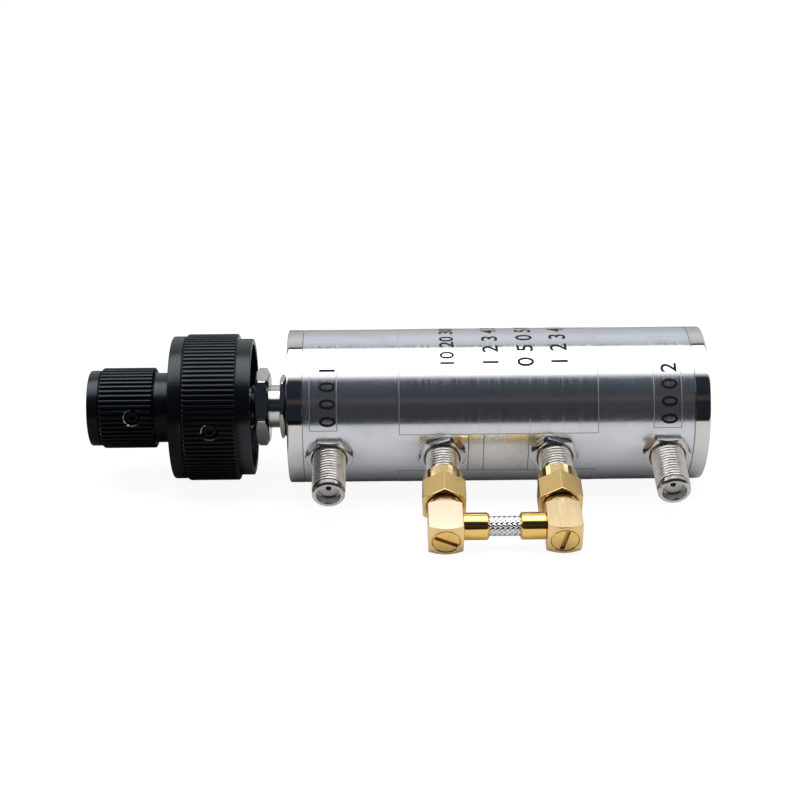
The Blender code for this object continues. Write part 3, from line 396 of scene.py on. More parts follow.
# every finish, as makeFinish takes it: its colour and its stains' colour, its roughness from
# smooth to rough, its turning lines (how many to a metre, their drift, their share of the
# unevenness, their depth), its grain (scale, depth) and the scale of its stains.
# What follows differs from most: metallic, the axis of the lines, ior, the mirror's tint.
# Depths are in micrometres.
finishes = {
    "shellNickel": (
        (0.67, 0.70, 0.745), (0.58, 0.60, 0.62), (0.08, 0.25), (3000, 90, 0.25, 1.2), (5200, 2.8),
        120, 0.94,
    ),
    "coverNickel": (
        (0.67, 0.665, 0.66), (0.62, 0.60, 0.57), (0.02, 0.07), (3600, 60, 0.7, 0.6), (3000, 0.6),
        120,
    ),
    "blockNickel": (
        (0.65, 0.635, 0.615), (0.55, 0.53, 0.50), (0.17, 0.32), (4200, 120, 0.4, 1.2),
        (5200, 3.0), 150, 0.97,
    ),
    "brushedFilm": (
        (0.69, 0.71, 0.745), (0.60, 0.61, 0.63), (0.08, 0.24), (8000, 20, 1.0, 1.2), (3000, 1.0),
        90, 0.95,
    ),
    "filmEdge": (
        (0.42, 0.44, 0.47), (0.36, 0.38, 0.40), (0.35, 0.55), (3000, 400, 0.3, 1.0), (5000, 2.0),
        300, 0.75,
    ),
    "nutNickel": (
        (0.62, 0.61, 0.59), (0.46, 0.43, 0.39), (0.06, 0.17), (5200, 900, 0.5, 1.2), (6000, 1.6),
        500, 1.0, jackWay,
    ),
    "threadNickel": (
        (0.60, 0.585, 0.56), (0.28, 0.25, 0.22), (0.12, 0.30), (9000, 500, 0.5, 1.5), (7000, 3.0),
        700, 1.0, jackWay,
    ),
    "polishedGold": (
        (0.93, 0.65, 0.22), (0.86, 0.53, 0.15), (0.08, 0.18), (7000, 300, 0.5, 1.2), (5000, 1.8),
        450, 1.0, jackWay,
    ),
    "satinGold": (
        (0.53, 0.37, 0.145), (0.46, 0.31, 0.11), (0.26, 0.40), (5000, 400, 0.2, 1.0), (7000, 6.0),
        450, 1.0, jackWay,
    ),
    "flutedGold": (
        (0.92, 0.69, 0.34), (0.84, 0.58, 0.22), (0.13, 0.21), (5000, 400, 0.4, 1.0), (6000, 2.0),
        450, 1.0, jackWay,
    ),
    # the next two, paler and less saturated, go on the elbows' top faces: painted highlights
    "lappedGoldPaintedHighlight": (
        (0.76, 0.58, 0.43), (0.72, 0.53, 0.38), (0.16, 0.26), (4000, 150, 0.5, 1.0), (5000, 2.0),
        350,
    ),
    "brushedGoldPaintedHighlight": (
        (0.85, 0.67, 0.38), (0.80, 0.60, 0.31), (0.17, 0.24), (3000, 60, 0.5, 0.5), (5000, 1.0),
        350,
    ),
    "sawnGold": (
        (0.62, 0.38, 0.15), (0.42, 0.23, 0.07), (0.42, 0.58), (6000, 500, 0.6, 3.0), (6000, 4.0),
        600, 0.9, jackWay,
    ),
    "milledGold": (
        (0.92, 0.67, 0.32), (0.84, 0.56, 0.21), (0.12, 0.24), (5200, 90, 0.8, 1.7), (4500, 1.8),
        350,
    ),
    "ferruleGold": (
        (0.93, 0.64, 0.20), (0.87, 0.55, 0.15), (0.05, 0.12), (7000, 300, 0.6, 1.0), (4000, 1.0),
        300,
    ),
    "tinnedWire": (
        (0.80, 0.80, 0.805), (0.58, 0.58, 0.585), (0.08, 0.22), (4000, 900, 0.4, 1.0),
        (9000, 2.0), 900,
    ),
    "shaftSteel": (
        (0.56, 0.56, 0.57), (0.42, 0.41, 0.40), (0.20, 0.38), (8000, 300, 0.6, 3.0), (6000, 3.0),
        400,
    ),
    # near white and half metallic, on one arc of each set-screw hole's edge: bare metal with a
    # painted highlight
    "tappedEdgeHighlight": (
        (0.95, 0.93, 0.90), (0.88, 0.80, 0.70), (0.34, 0.5), (2200, 200, 0.7, 10.0), (6000, 3.0),
        700, 0.35, jackWay,
    ),
    "detentBrass": (
        (0.80, 0.62, 0.30), (0.62, 0.44, 0.20), (0.22, 0.36), (6000, 300, 0.5, 3.0), (5000, 3.0),
        300,
    ),
    "blackAnodised": (
        (0.0014, 0.0026, 0.0032), (0.004, 0.006, 0.0068), (0.19, 0.30), (5000, 200, 0.4, 2.0),
        (5200, 6.0), 260, 0.0, shaftWay, 1.46, (0.82, 0.94, 1.0),
    ),
    "blackOxide": (
        (0.012, 0.012, 0.013), (0.035, 0.032, 0.028), (0.30, 0.45), (6000, 300, 0.4, 4.0),
        (6000, 6.0), 500, 0.4,
    ),
    "whiteDielectric": (
        (0.90, 0.95, 0.99), (0.82, 0.87, 0.91), (0.35, 0.5), (3000, 300, 0.5, 4.0), (4000, 3.0),
        500, 0.0, jackWay,
    ),
    "drumPlastic": (
        (0.09, 0.09, 0.10), (0.12, 0.12, 0.125), (0.42, 0.55), (3000, 300, 0.5, 3.0), (5000, 6.0),
        200, 0.0,
    ),
    "blackInk": (
        (0.010, 0.010, 0.012), (0.024, 0.024, 0.028), (0.45, 0.6), (9000, 200, 0.5, 1.0),
        (9000, 1.0), 800, 0.0, shaftWay, 1.22,
    ),
}


def makeFinish(
    name, color, stain, roughness, lines, grain, patch, metallic=1.0, axis=shaftWay, ior=1.5,
    tint=(1, 1, 1),
):
    lineCount, drift, lineShare, lineDepth = lines
    grainScale, grainDepth = grain
    material, tree, shader = newMaterial(name)
    shader.inputs["Metallic"].default_value = metallic
    shader.inputs["IOR"].default_value = ior
    shader.inputs["Specular Tint"].default_value = (*tint, 1)
    coords = addNode(tree, "TexCoord").outputs["Object"]
    scored = addNode(tree, "Group", {
        "Vector": coords, "Axis": axis, "Lines": lineCount, "Drift": drift,
    }, node_tree=turningLines).outputs["Value"]
    marks = addNode(tree, "Group", {
        "Vector": coords, "Scale": patch, "From": 0.42, "To": 0.72,
    }, node_tree=patches).outputs["Value"]
    grained = addNode(tree, "TexNoise", {
        "Vector": coords, "Scale": grainScale, "Detail": 2.0, "Roughness": 0.7,
    }).outputs["Fac"]
    shade = blendColors(tree, multiplied(tree, marks, scored), color, stain)
    tree.links.new(shade, shader.inputs["Base Color"])
    uneven = blended(tree, lineShare, grained, scored)
    # most of the noise lies between 0.38 and 0.64
    tree.links.new(ranged(tree, uneven, *roughness, 0.38, 0.64), shader.inputs["Roughness"])
    relief = addNode(tree, "Bump", {"Height": scored, "Distance": lineDepth * micrometre})
    relief = addNode(tree, "Bump", {
        "Height": grained, "Distance": grainDepth * micrometre,
        "Normal": relief.outputs["Normal"],
    })
    tree.links.new(relief.outputs["Normal"], shader.inputs["Normal"])
    return material


finish = {name: makeFinish(name, *row) for name, row in finishes.items()}
print("stage: finishes made,", len(finish))

# the photograph's view: the lens in millimetres, other lengths in metres, angles in degrees
view = {
    "focal": 77.4, "sensor": 36.0, "nearest": 0.01, "farthest": 30.0,
    "distance": 0.3400, "foot": 0.01850, "lift": 0.00101,
    "elevation": 21.64, "yaw": 0.538, "roll": 0.586,
}


def makeCamera():
    lens = bpy.data.cameras.new("camera")
    lens.sensor_width, lens.lens = view["sensor"], view["focal"]
    lens.clip_start, lens.clip_end = view["nearest"], view["farthest"]
    camera = bpy.data.objects.new("camera", lens)
    bpy.context.scene.collection.objects.link(camera)
    tilted = turned(90 - view["elevation"], "X") @ moved(0, view["lift"], view["distance"])
    aimed = turned(-view["yaw"], "Y") @ turned(-view["roll"], "Z")
    camera.matrix_world = moved(*shaftOrigin) @ moved(view["foot"]) @ tilted @ aimed
    bpy.context.scene.camera = camera


makeCamera()

# light, floor and surroundings
studio = {
    "fullGlow": 4.0, "backdrop": 1.0, "floorSize": 6.0,
    "paper": (0.45, 0.44, 0.43), "paperFront": -0.125, "paperFade": 0.04, "paperEnd": 0.03,
    # painted light and shade: in what the part mirrors, the paper glows in front of the barrel, a
    # painted pool of light, and hardly under it, a painted shadow there
    "paintedPaperGlow": (0.23, 0.02), "glowFrom": -0.0150, "glowTo": -0.0065,
    # painted shadow: in what the part mirrors, the paper is darker past this edge, under the
    # knobs
    "paintedShadeEdge": -0.028, "paintedShadeFade": 0.003, "paintedShadeLevel": 0.22,
    "seenPaper": (0.11, 0.11, 0.11), "seenGlow": 0.925,
    "fillSize": 0.4, "fillPower": 0.12, "fillHeight": 0.5,
    "boxHeight": 0.55, "boxLength": 1.3, "barrelRadius": 0.015,
    # glow across the softbox, by the angle at which the barrel mirrors it
    "boxBands": (
        (59.0, 0.05), (61.5, 0.3), (64.0, 0.85), (67.5, 1.7), (75.0, 2.7), (85.0, 3.3),
        (95.0, 3.7), (105.0, 3.7), (111.0, 2.9), (115.0, 1.9), (117.4, 1.25),
    ),
    # the room past the softbox, by the angle from the front horizon over the top to the back
    "roomBands": (
        (0, (0.017, 0.021, 0.028)), (23, (0.018, 0.022, 0.029)), (26, (0.075, 0.052, 0.055)),
        (31, (0.060, 0.046, 0.050)), (34, (0.017, 0.024, 0.034)), (60, (0.025, 0.038, 0.054)),
        (66, (0.50, 0.50, 0.51)), (111, (0.50, 0.50, 0.51)), (115, (0.04, 0.04, 0.05)),
        (120.4, (0.05, 0.05, 0.06)), (122.2, (0.58, 0.59, 0.61)), (134, (0.78, 0.80, 0.84)),
        (145, (0.78, 0.80, 0.83)), (160, (0.60, 0.61, 0.62)), (180, (0.50, 0.50, 0.50)),
    ),
}


def stageSheet(name, width, depth, place, material):
    sheet = bmesh.new()
    size = Matrix.Diagonal((width, depth, 1, 1))
    bmesh.ops.create_grid(
        sheet, x_segments=1, y_segments=1, size=0.5, matrix=moved(*place) @ size,
    )
    mesh = bpy.data.meshes.new(name)
    sheet.to_mesh(mesh)
    sheet.free()
    mesh.materials.append(material)
    made = bpy.data.objects.new(name, mesh)
    bpy.context.scene.collection.objects.link(made)
    made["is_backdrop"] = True
    return made


def fillRamp(tree, value, bands, low, high):
    # a ramp over the bands, whose colours are shares of the full glow
    ramp = addNode(tree, "ValToRGB", {0: ranged(tree, value, 0.0, 1.0, low, high)})
    marks = ramp.color_ramp.elements
    for number, (where, color) in enumerate(bands):
        position = (where - low) / (high - low)
        mark = marks[number] if number < 2 else marks.new(position)
        mark.position = position
        mark.color = (*(glow / studio["fullGlow"] for glow in color), 1)
    return ramp.outputs["Color"]


def makeFloor():
    paper, tree, shader = newMaterial("pale paper")
    shader.inputs["Roughness"].default_value = 0.9
    shader.inputs["Specular IOR Level"].default_value = 0.0
    shader.inputs["Emission Color"].default_value = (1, 1, 1, 1)
    # in what the part mirrors, the paper ends in front, and under the knobs it is painted darker,
    # a painted shadow
    spot = addNode(tree, "SeparateXYZ", {0: addNode(tree, "TexCoord").outputs["Object"]})
    front, shadeEdge = studio["paperFront"], studio["paintedShadeEdge"]
    paperShare = ranged(
        tree, spot.outputs["Y"], studio["paperEnd"], 1.0, front - studio["paperFade"], front,
    )
    # painted shadow under the knobs, seen only in reflections
    paintedShadeShare = ranged(
        tree, spot.outputs["X"], studio["paintedShadeLevel"], 1.0, shadeEdge - studio["paintedShadeFade"], shadeEdge,
    )
    share = multiplied(tree, paperShare, paintedShadeShare)
    mirrored = blendColors(tree, share, (0, 0, 0), studio["paper"])
    seen = addNode(tree, "LightPath").outputs["Is Camera Ray"]
    color = blendColors(tree, seen, mirrored, studio["seenPaper"])
    tree.links.new(color, shader.inputs["Base Color"])
    # painted light: for mirrored rays the paper glows in front of the barrel, and hardly under
    # it, a painted shadow
    glow = ranged(
        tree, spot.outputs["Y"], *studio["paintedPaperGlow"], shaftOrigin.y + studio["glowFrom"],
        shaftOrigin.y + studio["glowTo"],
    )
    glow = blended(tree, seen, multiplied(tree, share, glow), studio["seenGlow"])
    tree.links.new(glow, shader.inputs["Emission Strength"])
    stageSheet("floor", studio["floorSize"], studio["floorSize"], (0, 0, 0), paper)


def makeSoftbox():
    # one long softbox over the part, hidden from the camera, brightest behind its middle
    def mirroredAt(angle):
        normal = math.radians((angle + view["elevation"]) / 2)
        spot = Vector((0, -math.cos(normal), math.sin(normal))) * studio["barrelRadius"]
        rise = studio["boxHeight"] - shaftOrigin.z - spot.z
        return shaftOrigin.y + spot.y - rise / math.tan(math.radians(angle))

    bands = [(mirroredAt(angle), (glow, glow, glow * 1.01)) for angle, glow in studio["boxBands"]]
    front, rear = bands[0][0], bands[-1][0]
    cloth, tree, shader = newMaterial("softbox cloth")
    shader.inputs["Base Color"].default_value = (0, 0, 0, 1)
    shader.inputs["Specular IOR Level"].default_value = 0.0
    shader.inputs["Emission Strength"].default_value = studio["fullGlow"]
    spot = addNode(tree, "SeparateXYZ", {0: addNode(tree, "TexCoord").outputs["Object"]})
    glow = fillRamp(tree, spot.outputs["Y"], bands, front, rear)
    tree.links.new(glow, shader.inputs["Emission Color"])
    middle = (0, (front + rear) / 2, studio["boxHeight"])
    box = stageSheet("softbox", studio["boxLength"], rear - front, middle, cloth)
    box.visible_camera = False


def makeRoom():
    world = bpy.data.worlds.new("studio")
    world.use_nodes = True
    bpy.context.scene.world = world
    tree = world.node_tree
    backdrop = tree.nodes["Background"]
    backdrop.inputs["Strength"].default_value = studio["fullGlow"]
    way = addNode(tree, "SeparateXYZ", {0: addNode(tree, "TexCoord").outputs["Generated"]})
    toFront = multiplied(tree, way.outputs["Y"], -1.0)
    rising = addNode(tree, "Math", {0: way.outputs["Z"], 1: toFront}, operation="ARCTAN2")
    angle = addNode(tree, "Math", {0: rising.outputs[0]}, operation="DEGREES")
    room = fillRamp(tree, angle.outputs[0], studio["roomBands"], 0.0, 180.0)
    seen = addNode(tree, "LightPath").outputs["Is Camera Ray"]
    plain = (studio["backdrop"] / studio["fullGlow"],) * 3
    tree.links.new(blendColors(tree, seen, room, plain), backdrop.inputs["Color"])
    light = bpy.data.lights.new("soft_fill", "AREA")
    light.size, light.energy = studio["fillSize"], studio["fillPower"]
    lamp = bpy.data.objects.new("soft_fill", light)
    lamp.location = (0, 0, studio["fillHeight"])
    lamp.visible_glossy = False
    bpy.context.scene.collection.objects.link(lamp)
    bpy.context.scene.view_settings.view_transform = "Standard"


makeFloor()
makeSoftbox()
makeRoom()
print("stage: camera and studio ready")

# the barrel, from the front face back; outlines are (radius, height)
housing = {
    "radius": 15.0, "bore": 12.0, "edge": 0.09, "steps": 192, "rows": 9,
    "front_shell": (3.05, 34.5), "rear_shell": (46.05, 77.5),
    "jacks": (8.0, 29.5, 51.0, 72.5),
    "jackSeat": ((0, 17), (4.75, 17), (4.75, 14.6), (3.225, 14.6), (3.225, 9), (0, 9)),
    "front_cover": (
        (4.25, 4.3), (11.95, 4.3), (11.95, 3.0), (14.91, 3.0), (15.0, 2.91), (15.0, 0.4),
        (15.0, 0.3), (14.91, 0.09), (14.7, 0.0), (4.25, 0.0),
    ),
    "rear_cover": (
        (0, 80.5), (14.7, 80.5), (14.91, 80.41), (15.0, 80.2), (15.0, 80.1), (15.0, 77.64),
        (14.91, 77.55), (11.95, 77.55), (11.95, 76.25), (1.75, 76.25), (1.75, 79.0), (0, 79.0),
    ),
    "end_plate": (
        (3.3, 37.4), (14.91, 37.4), (15.0, 37.31), (15.0, 34.64), (14.91, 34.55),
        (11.95, 34.55), (11.95, 33.2), (3.3, 33.2),
    ),
    "middle_block": (
        (9.3, 46.0), (14.91, 46.0), (15.0, 45.91), (15.0, 37.54), (14.91, 37.45), (9.3, 37.45),
        (9.3, 40.65), (1.7, 40.65), (1.7, 42.8), (9.3, 42.8),
    ),
    "detents": (39.05, 44.4),
    "detentHole": ((0, 16), (1.45, 16), (1.45, 13.35), (1.24, 13.35), (1.24, 7.6), (0, 7.6)),
}
coverScrews = {
    # each cover's outer face along the shaft, and which way it looks
    "faces": {"front_cover": (0.0, -1), "rear_cover": (80.5, 1)},
    "circle": 13.4, "angles": (60, 180, 300), "slotTurns": (85, 135, 185),
    "hole": ((0, 0.5), (2.0, 0.5), (0.9, -0.6), (0.9, -6.0), (0, -6.0)),
    "head": ((0, 0), (1.27, 0), (1.35, -0.06), (0.8, -0.55), (0.8, -5.5), (0, -5.5)),
    "headLift": -0.05, "slot": (4.05, 0.4, 0.4),
}


def finishHousing(shape, node, look, smoothBelow):
    finishPiece(
        shape, node + "_skin", shaftPlace, look, node, smoothBelow=smoothBelow,
    )


def makeShell(node, jacks):
    radius, bore, edge, rows = (housing[key] for key in ("radius", "bore", "edge", "rows"))
    start, end = housing[node]
    between = [
        (radius, end - edge - (end - start - 2 * edge) * row / rows) for row in range(1, rows)
    ]
    shape = spun([
        (bore, end), (radius - edge, end), (radius, end - edge), *between,
        (radius, start + edge), (radius - edge, start), (bore, start),
    ], housing["steps"])
    for along in jacks:
        shape = carveAt(shape, spun(housing["jackSeat"]), intoRadial(along))
    finishHousing(shape, node, "shellNickel", 8)


def screwPlace(node, angle, lift=0.0):
    # a cover screw's place in the shaft's own frame, Z out of the cover
    face, facing = coverScrews["faces"][node]
    polar = math.radians(270 - angle)
    spot = Vector((math.cos(polar), math.sin(polar))) * coverScrews["circle"]
    return moved(spot.x, spot.y, face + lift * facing) @ turned(180 if facing < 0 else 0, "X")


def makeCover(node):
    shape = spun(housing[node], housing["steps"])
    for angle in coverScrews["angles"]:
        shape = carveAt(shape, spun(coverScrews["hole"], 48), screwPlace(node, angle))
    finishHousing(shape, node, "coverNickel", 25)


def makeScrewHeads(node):
    # countersunk heads with sawn slots
    spots = zip(coverScrews["angles"], coverScrews["slotTurns"])
    for number, (angle, turn) in enumerate(spots, 1):
        head = carve(spun(coverScrews["head"], 48), sawBlade(*coverScrews["slot"], turn))
        place = shaftPlace @ screwPlace(node, angle, coverScrews["headLift"])
        finishPiece(
            head, f"{node}_screw_head_{number}", place, "shaftSteel",
            f"{node}_screw_{number}",
        )


def makeHousing():
    makeShell("front_shell", housing["jacks"][:2])
    makeShell("rear_shell", housing["jacks"][2:])
    for make in (makeCover, makeScrewHeads):
        for node in coverScrews["faces"]:
            make(node)
    finishHousing(spun(housing["end_plate"], housing["steps"]), "end_plate", "blockNickel", 25)
    block = spun(housing["middle_block"], housing["steps"])
    for along in housing["detents"]:
        block = carveAt(block, spun(housing["detentHole"], 48), intoRadial(along, 180))
    finishHousing(block, "middle_block", "blockNickel", 8)


makeHousing()
print("stage: housing made")

# bushing, washer and nuts on the front
frontHardware = {
    "bushing": {
        "crest": 4.2, "root": 3.8, "pitch": 0.75, "bottom": -7.72, "top": -4.1, "steps": 64,
        "fromTop": ((4.08, -4.0), (4.2, -3.92), (4.2, 4.35), (5.5, 4.35), (5.5, 5.55)),
        "fromBottom": ((3.9, -8.02), (3.275, -8.02), (3.275, 5.55)),
    },
    "washer": ((4.25, -0.06), (6.0, -0.06), (6.0, -0.8), (4.25, -0.8)), "washerEdge": 0.08,
    "nuts": {
        "jam_nut": {
            "acrossFlats": 11.3, "bore": 4.25, "bottom": -1.85, "top": -0.85, "turn": 5.0,
            "rounding": 0.15, "countersink": 0.2,
        },
        "panel_nut": {
            "acrossFlats": 13.5, "bore": 4.25, "bottom": -6.62, "top": -3.87, "turn": 12.0,
            "rounding": 0.18, "countersink": 0.3,
        },
    },
}


def makeFrontHardware():
    finishPiece(
        threadedTube(frontHardware["bushing"]), "bushing_threaded", shaftPlace, "nutNickel",
        "bushing",
    )
    washer = spun(frontHardware["washer"])
    roundSharp(washer, frontHardware["washerEdge"])
    finishPiece(
        washer, "lock_washer_ring", shaftPlace, "blackOxide", "lock_washer",
    )
    for node, nut in frontHardware["nuts"].items():
        finishPiece(
            hexNut(nut, nut["turn"]), node + "_hex", shaftPlace, "nutNickel",
            node,
        )


makeFrontHardware()
print("stage: front hardware made")

# one rib, across its pitch: share of the pitch, share of the rib's height
ribOutline = (
    (0.10, 0.0), (0.19, 0.50), (0.26, 0.90), (0.36, 1.0), (0.64, 1.0), (0.74, 0.90),
    (0.81, 0.50), (0.90, 0.0),
)
# rows of a knob are (radius, height), with the share of the ribs' height where they rise
# each hole's last pair of angles marks the arc of its edge that gets a painted highlight
knobs = {
    "big_knob": {
        "body": "outer_drive", "ribs": 90, "ribHeight": 0.42,
        "hole": {"along": -14.7, "angle": 19.5, "floor": 3.0, "top": 14.4, "highlightArc": (-70, 5)},
        "rows": (
            (3.225, -8.45), (5.6, -8.45), (5.8, -8.65), (5.8, -10.0), (12.2, -10.0),
            (12.4, -9.8), (12.4, -7.15), (12.52, -7.02), (12.65, -7.0), (13.2, -7.0),
            (13.33, -7.05), (13.4, -7.2), (13.4, -9.72), (13.48, -9.8), (13.86, -9.8),
            (13.98, -9.88, 0.55), (13.98, -10.1, 1), (13.98, -12.0, 1), (13.98, -17.5, 1),
            (13.98, -19.5, 1), (13.98, -19.85, 0.6), (13.9, -20.0, 0.15), (13.7, -20.03),
            (13.68, -20.12), (13.78, -20.17), (13.95, -20.22), (14.0, -20.4), (14.0, -22.3),
            (13.93, -22.55), (13.75, -22.68), (13.6, -22.7), (8.6, -22.7), (8.4, -22.6),
            (2.2, -22.6), (1.89, -22.5), (1.89, -20.8), (3.225, -20.8),
        ),
    },
    "small_knob": {
        "body": "inner_drive", "ribs": 48, "ribHeight": 0.52, "boreEnd": -36.15,
        "hole": {"along": -30.3, "angle": 24.2, "floor": 1.45, "top": 7.9, "highlightArc": (-85, 70)},
        "rows": (
            (1.64, -23.1), (6.7, -23.1), (6.82, -23.15), (6.85, -23.28), (6.85, -26.12),
            (6.93, -26.2), (7.25, -26.2), (7.36, -26.28, 0.5), (7.38, -26.5, 1),
            (7.38, -28.0, 1), (7.38, -34.8, 1), (7.38, -36.3, 1), (7.38, -36.64, 0.6),
            (7.3, -36.8, 0.15), (7.1, -36.83), (7.08, -36.92), (7.18, -36.97), (7.35, -37.02),
            (7.4, -37.2), (7.4, -38.7), (7.33, -38.95), (7.15, -39.08), (7.0, -39.1),
            (5.2, -39.1), (5.0, -39.0), (0.0, -39.0),
        ),
    },
}
setScrew = {
    "hole": 1.5, "mouthDepth": 0.42, "sink": 0.2, "radius": 1.42, "edge": 0.25, "recess": 1.1,
    "socket": 0.75, "socketDepth": 0.9,
}


def knobRing(knob, radius, height, share=0.0):
    # where every corner of one ring of the knob's skin belongs
    spots = []
    for rib in range(knob["ribs"]):
        for across, rise in ribOutline:
            turn = math.tau * (rib + across) / knob["ribs"]
            reach = radius + knob["ribHeight"] * rise * share
            spots.append((reach * math.cos(turn), reach * math.sin(turn), height))
    return spots


def knobSkin(knob):
    shape = bmesh.new()
    rows, columns = knob["rows"], knob["ribs"] * len(ribOutline)
    corners = bmesh.ops.create_circle(shape, segments=columns, radius=1.0)["verts"]
    for corner, spot in zip(corners, knobRing(knob, *rows[0])):
        corner.co = spot
    ring = shape.edges[:]
    for row in rows[1:]:
        made = bmesh.ops.extrude_edge_only(shape, edges=ring)["geom"]
        ring = freeEdges(made)
        # the extruded corners sit on the old ring, so their angle gives their order
        fresh = cornersOf(made)
        fresh.sort(key=lambda corner: math.atan2(corner.co.y, corner.co.x) % math.tau)
        for corner, spot in zip(fresh, knobRing(knob, *row)):
            corner.co = spot
    radius, height = rows[0]
    if "boreEnd" in knob:
        bmesh.ops.remove_doubles(shape, verts=shape.verts, dist=hair)
        bottom = ((radius, knob["boreEnd"]), (0.0, knob["boreEnd"]))
        extendRing(shape, openRing(shape, height), bottom)
    else:
        ends = openRing(shape, height) + openRing(shape, rows[-1][1])
        bmesh.ops.bridge_loops(shape, edges=ends)
    tidyFaces(shape)
    return shape


def makeKnob(node, knob):
    hole, bore, sink = knob["hole"], setScrew["hole"], setScrew["sink"]
    over, mouth = hole["top"] + 1, hole["top"] - setScrew["mouthDepth"]
    drill = spun([
        (0, over), (bore + sink + 0.1, over), (bore + sink, mouth), (bore, mouth - sink),
        (bore, hole["floor"]), (0, hole["floor"]),
    ], 64)
    # bare metal on the drilled edge, over one arc only and near white: a real bare edge with a
    # painted highlight; the rest of the hole is black
    low, high = hole["highlightArc"]
    for face in drill.faces:
        middle = face.calc_center_median()
        inHighlight = low < math.degrees(math.atan2(middle.y, middle.x)) < high
        atEdge = middle.xy.length > bore + 0.02 and middle.z < mouth
        face.material_index = int(inHighlight and atEdge)
    shape = carveAt(knobSkin(knob), drill, intoRadial(hole["along"], hole["angle"]))
    finishPiece(
        shape, node + "_ribbed", shaftPlace, ("blackAnodised", "tappedEdgeHighlight"),
        node, knob["body"], smoothBelow=38,
    )
    radius, edge, floor = setScrew["radius"], setScrew["edge"], hole["floor"] + 0.2
    top = hole["top"] - setScrew["recess"]
    screw = spun([
        (0, top), (radius - edge, top), (radius, top - edge), (radius, floor), (0, floor),
    ], 48)
    acrossFlats = 2 * setScrew["socket"] * math.cos(math.pi / 6)
    socket = hexBar(acrossFlats, top - setScrew["socketDepth"], top + 1, rounding=0.04)
    finishPiece(
        carve(screw, socket), node + "_screw_socket", radialPlace(hole["along"], hole["angle"]),
        "blackOxide", node + "_screw", knob["body"],
    )


for node, knob in knobs.items():
    makeKnob(node, knob)
print("stage: knobs made")

# threaded jacks, drawn outwards from the shaft
jackShape = {
    "shell": {
        "crest": 3.175, "root": 2.76, "pitch": 0.7056, "bottom": 15.9, "top": 24.6, "steps": 60,
        "fromTop": (
            (2.76, 24.66), (2.76, 24.76), (3.04, 24.8), (3.1, 24.88), (3.1, 25.66),
            (3.04, 25.76), (2.8, 26.0), (2.7, 26.07), (2.42, 26.07), (2.32, 26.02),
            (2.3, 25.9), (2.3, 24.05), (2.1, 24.05), (2.1, 12.6),
        ),
        "fromBottom": ((3.075, 15.75), (3.175, 15.6), (3.175, 11.95), (2.1, 11.95)),
    },
    "nut": {
        "acrossFlats": 8.0, "bore": 3.225, "bottom": 14.65, "top": 16.15, "rounding": 0.1,
        "countersink": 0.32,
    },
    "nutTurns": (0.0, 12.0, -12.0, 0.0),
    "insulator": ((0.66, 24.07), (1.95, 24.07), (2.05, 23.97), (2.05, 11.95), (0.66, 11.95)),
    "contact": (
        (0, 21.7), (0.475, 21.7), (0.475, 23.95), (0.53, 24.05), (0.6, 24.05), (0.635, 23.98),
        (0.635, 11.2), (0.35, 10.8), (0, 10.8),
    ),
}


def makeJack(name, along, nutTurn):
    parts = (
        (threadedTube(jackShape["shell"]), "threaded", "threadNickel", "nickel_thread", "shell"),
        (hexNut(jackShape["nut"], nutTurn), "hex", "nutNickel", "polished_nickel", "nut"),
        (spun(jackShape["insulator"], 64), "insulator", "whiteDielectric", "white_dielectric",
         "dielectric"),
        (spun(jackShape["contact"], 32), "centre", "polishedGold", "polished_gold", "contact"),
    )
    for shape, ending, look, slot, node in parts:
        finishPiece(shape, f"{name}_{ending}", radialPlace(along), look, f"{name}_{node}")


for number, (along, nutTurn) in enumerate(zip(housing["jacks"], jackShape["nutTurns"]), 1):
    makeJack(f"jack_{number}", along, nutTurn)
print("stage: jacks made")

# the jumper, drawn outwards from the shaft like the jacks it joins
jumper = {
    "coupling": {
        "acrossFlats": 8.0, "bottom": 24.5, "top": 29.5, "rounding": 0.14, "edge": 0.09,
        "collar": ((0, 25.5), (3.85, 25.5), (3.85, 21.94), (3.71, 21.8), (0, 21.8)),
        "facets": 28,
        "hollow": (
            (0, 30.0), (4.05, 30.0), (3.45, 29.4), (3.45, 28.0), (2.7, 28.0), (2.7, 27.0),
            (3.275, 27.0), (3.275, 21.9), (3.575, 21.5), (0, 21.3),
        ),
    },
    "elbow": {
        "start": 31.0, "end": 38.7, "width": 6.4, "endRadius": 3.1, "rounding": 0.12,
        "neck": (
            (0.48, 32.0), (3.15, 32.0), (3.15, 29.9), (3.03, 29.8), (3.03, 29.65), (3.15, 29.55),
            (3.15, 28.1), (2.6, 28.1), (2.6, 26.9), (3.1, 26.9), (3.1, 26.17), (2.2, 26.17),
            (2.2, 24.12), (0.48, 24.12),
        ),
        "seat": ((0, 39.7), (3.66, 39.7), (2.59, 38.63), (2.57, 37.45), (0, 37.45)),
    },
    "plug": {
        "disc": ((0, 38.66), (2.43, 38.66), (2.52, 38.57), (2.52, 37.46), (0, 37.46)),
        "top": 38.66, "slot": (4.6368, 0.85, 0.6),
    },
    # drawn with Z away from its elbow
    "ferrule": (
        (1.88, 7.95), (2.1, 7.95), (2.18, 7.91), (2.48, 7.62), (2.52, 7.52), (2.52, 3.35),
        (2.42, 3.25), (1.88, 3.25),
    ),
    "cable": {
        "radius": 1.85, "height": 34.7, "start": 7.0, "carriers": 8, "spacing": 0.93,
        "bandWidth": 0.62, "bandThickness": 0.15, "wave": 0.075, "steps": 56,
    },
    # which jack it sits on, which way its ferrule points, its slot, its lean, its top face's
    # finish, a paler gold that is a painted highlight
    "left": (1, 1, -26.0, -0.4, "lappedGoldPaintedHighlight"),
    "right": (2, -1, 77.0, 1.2, "brushedGoldPaintedHighlight"),
}


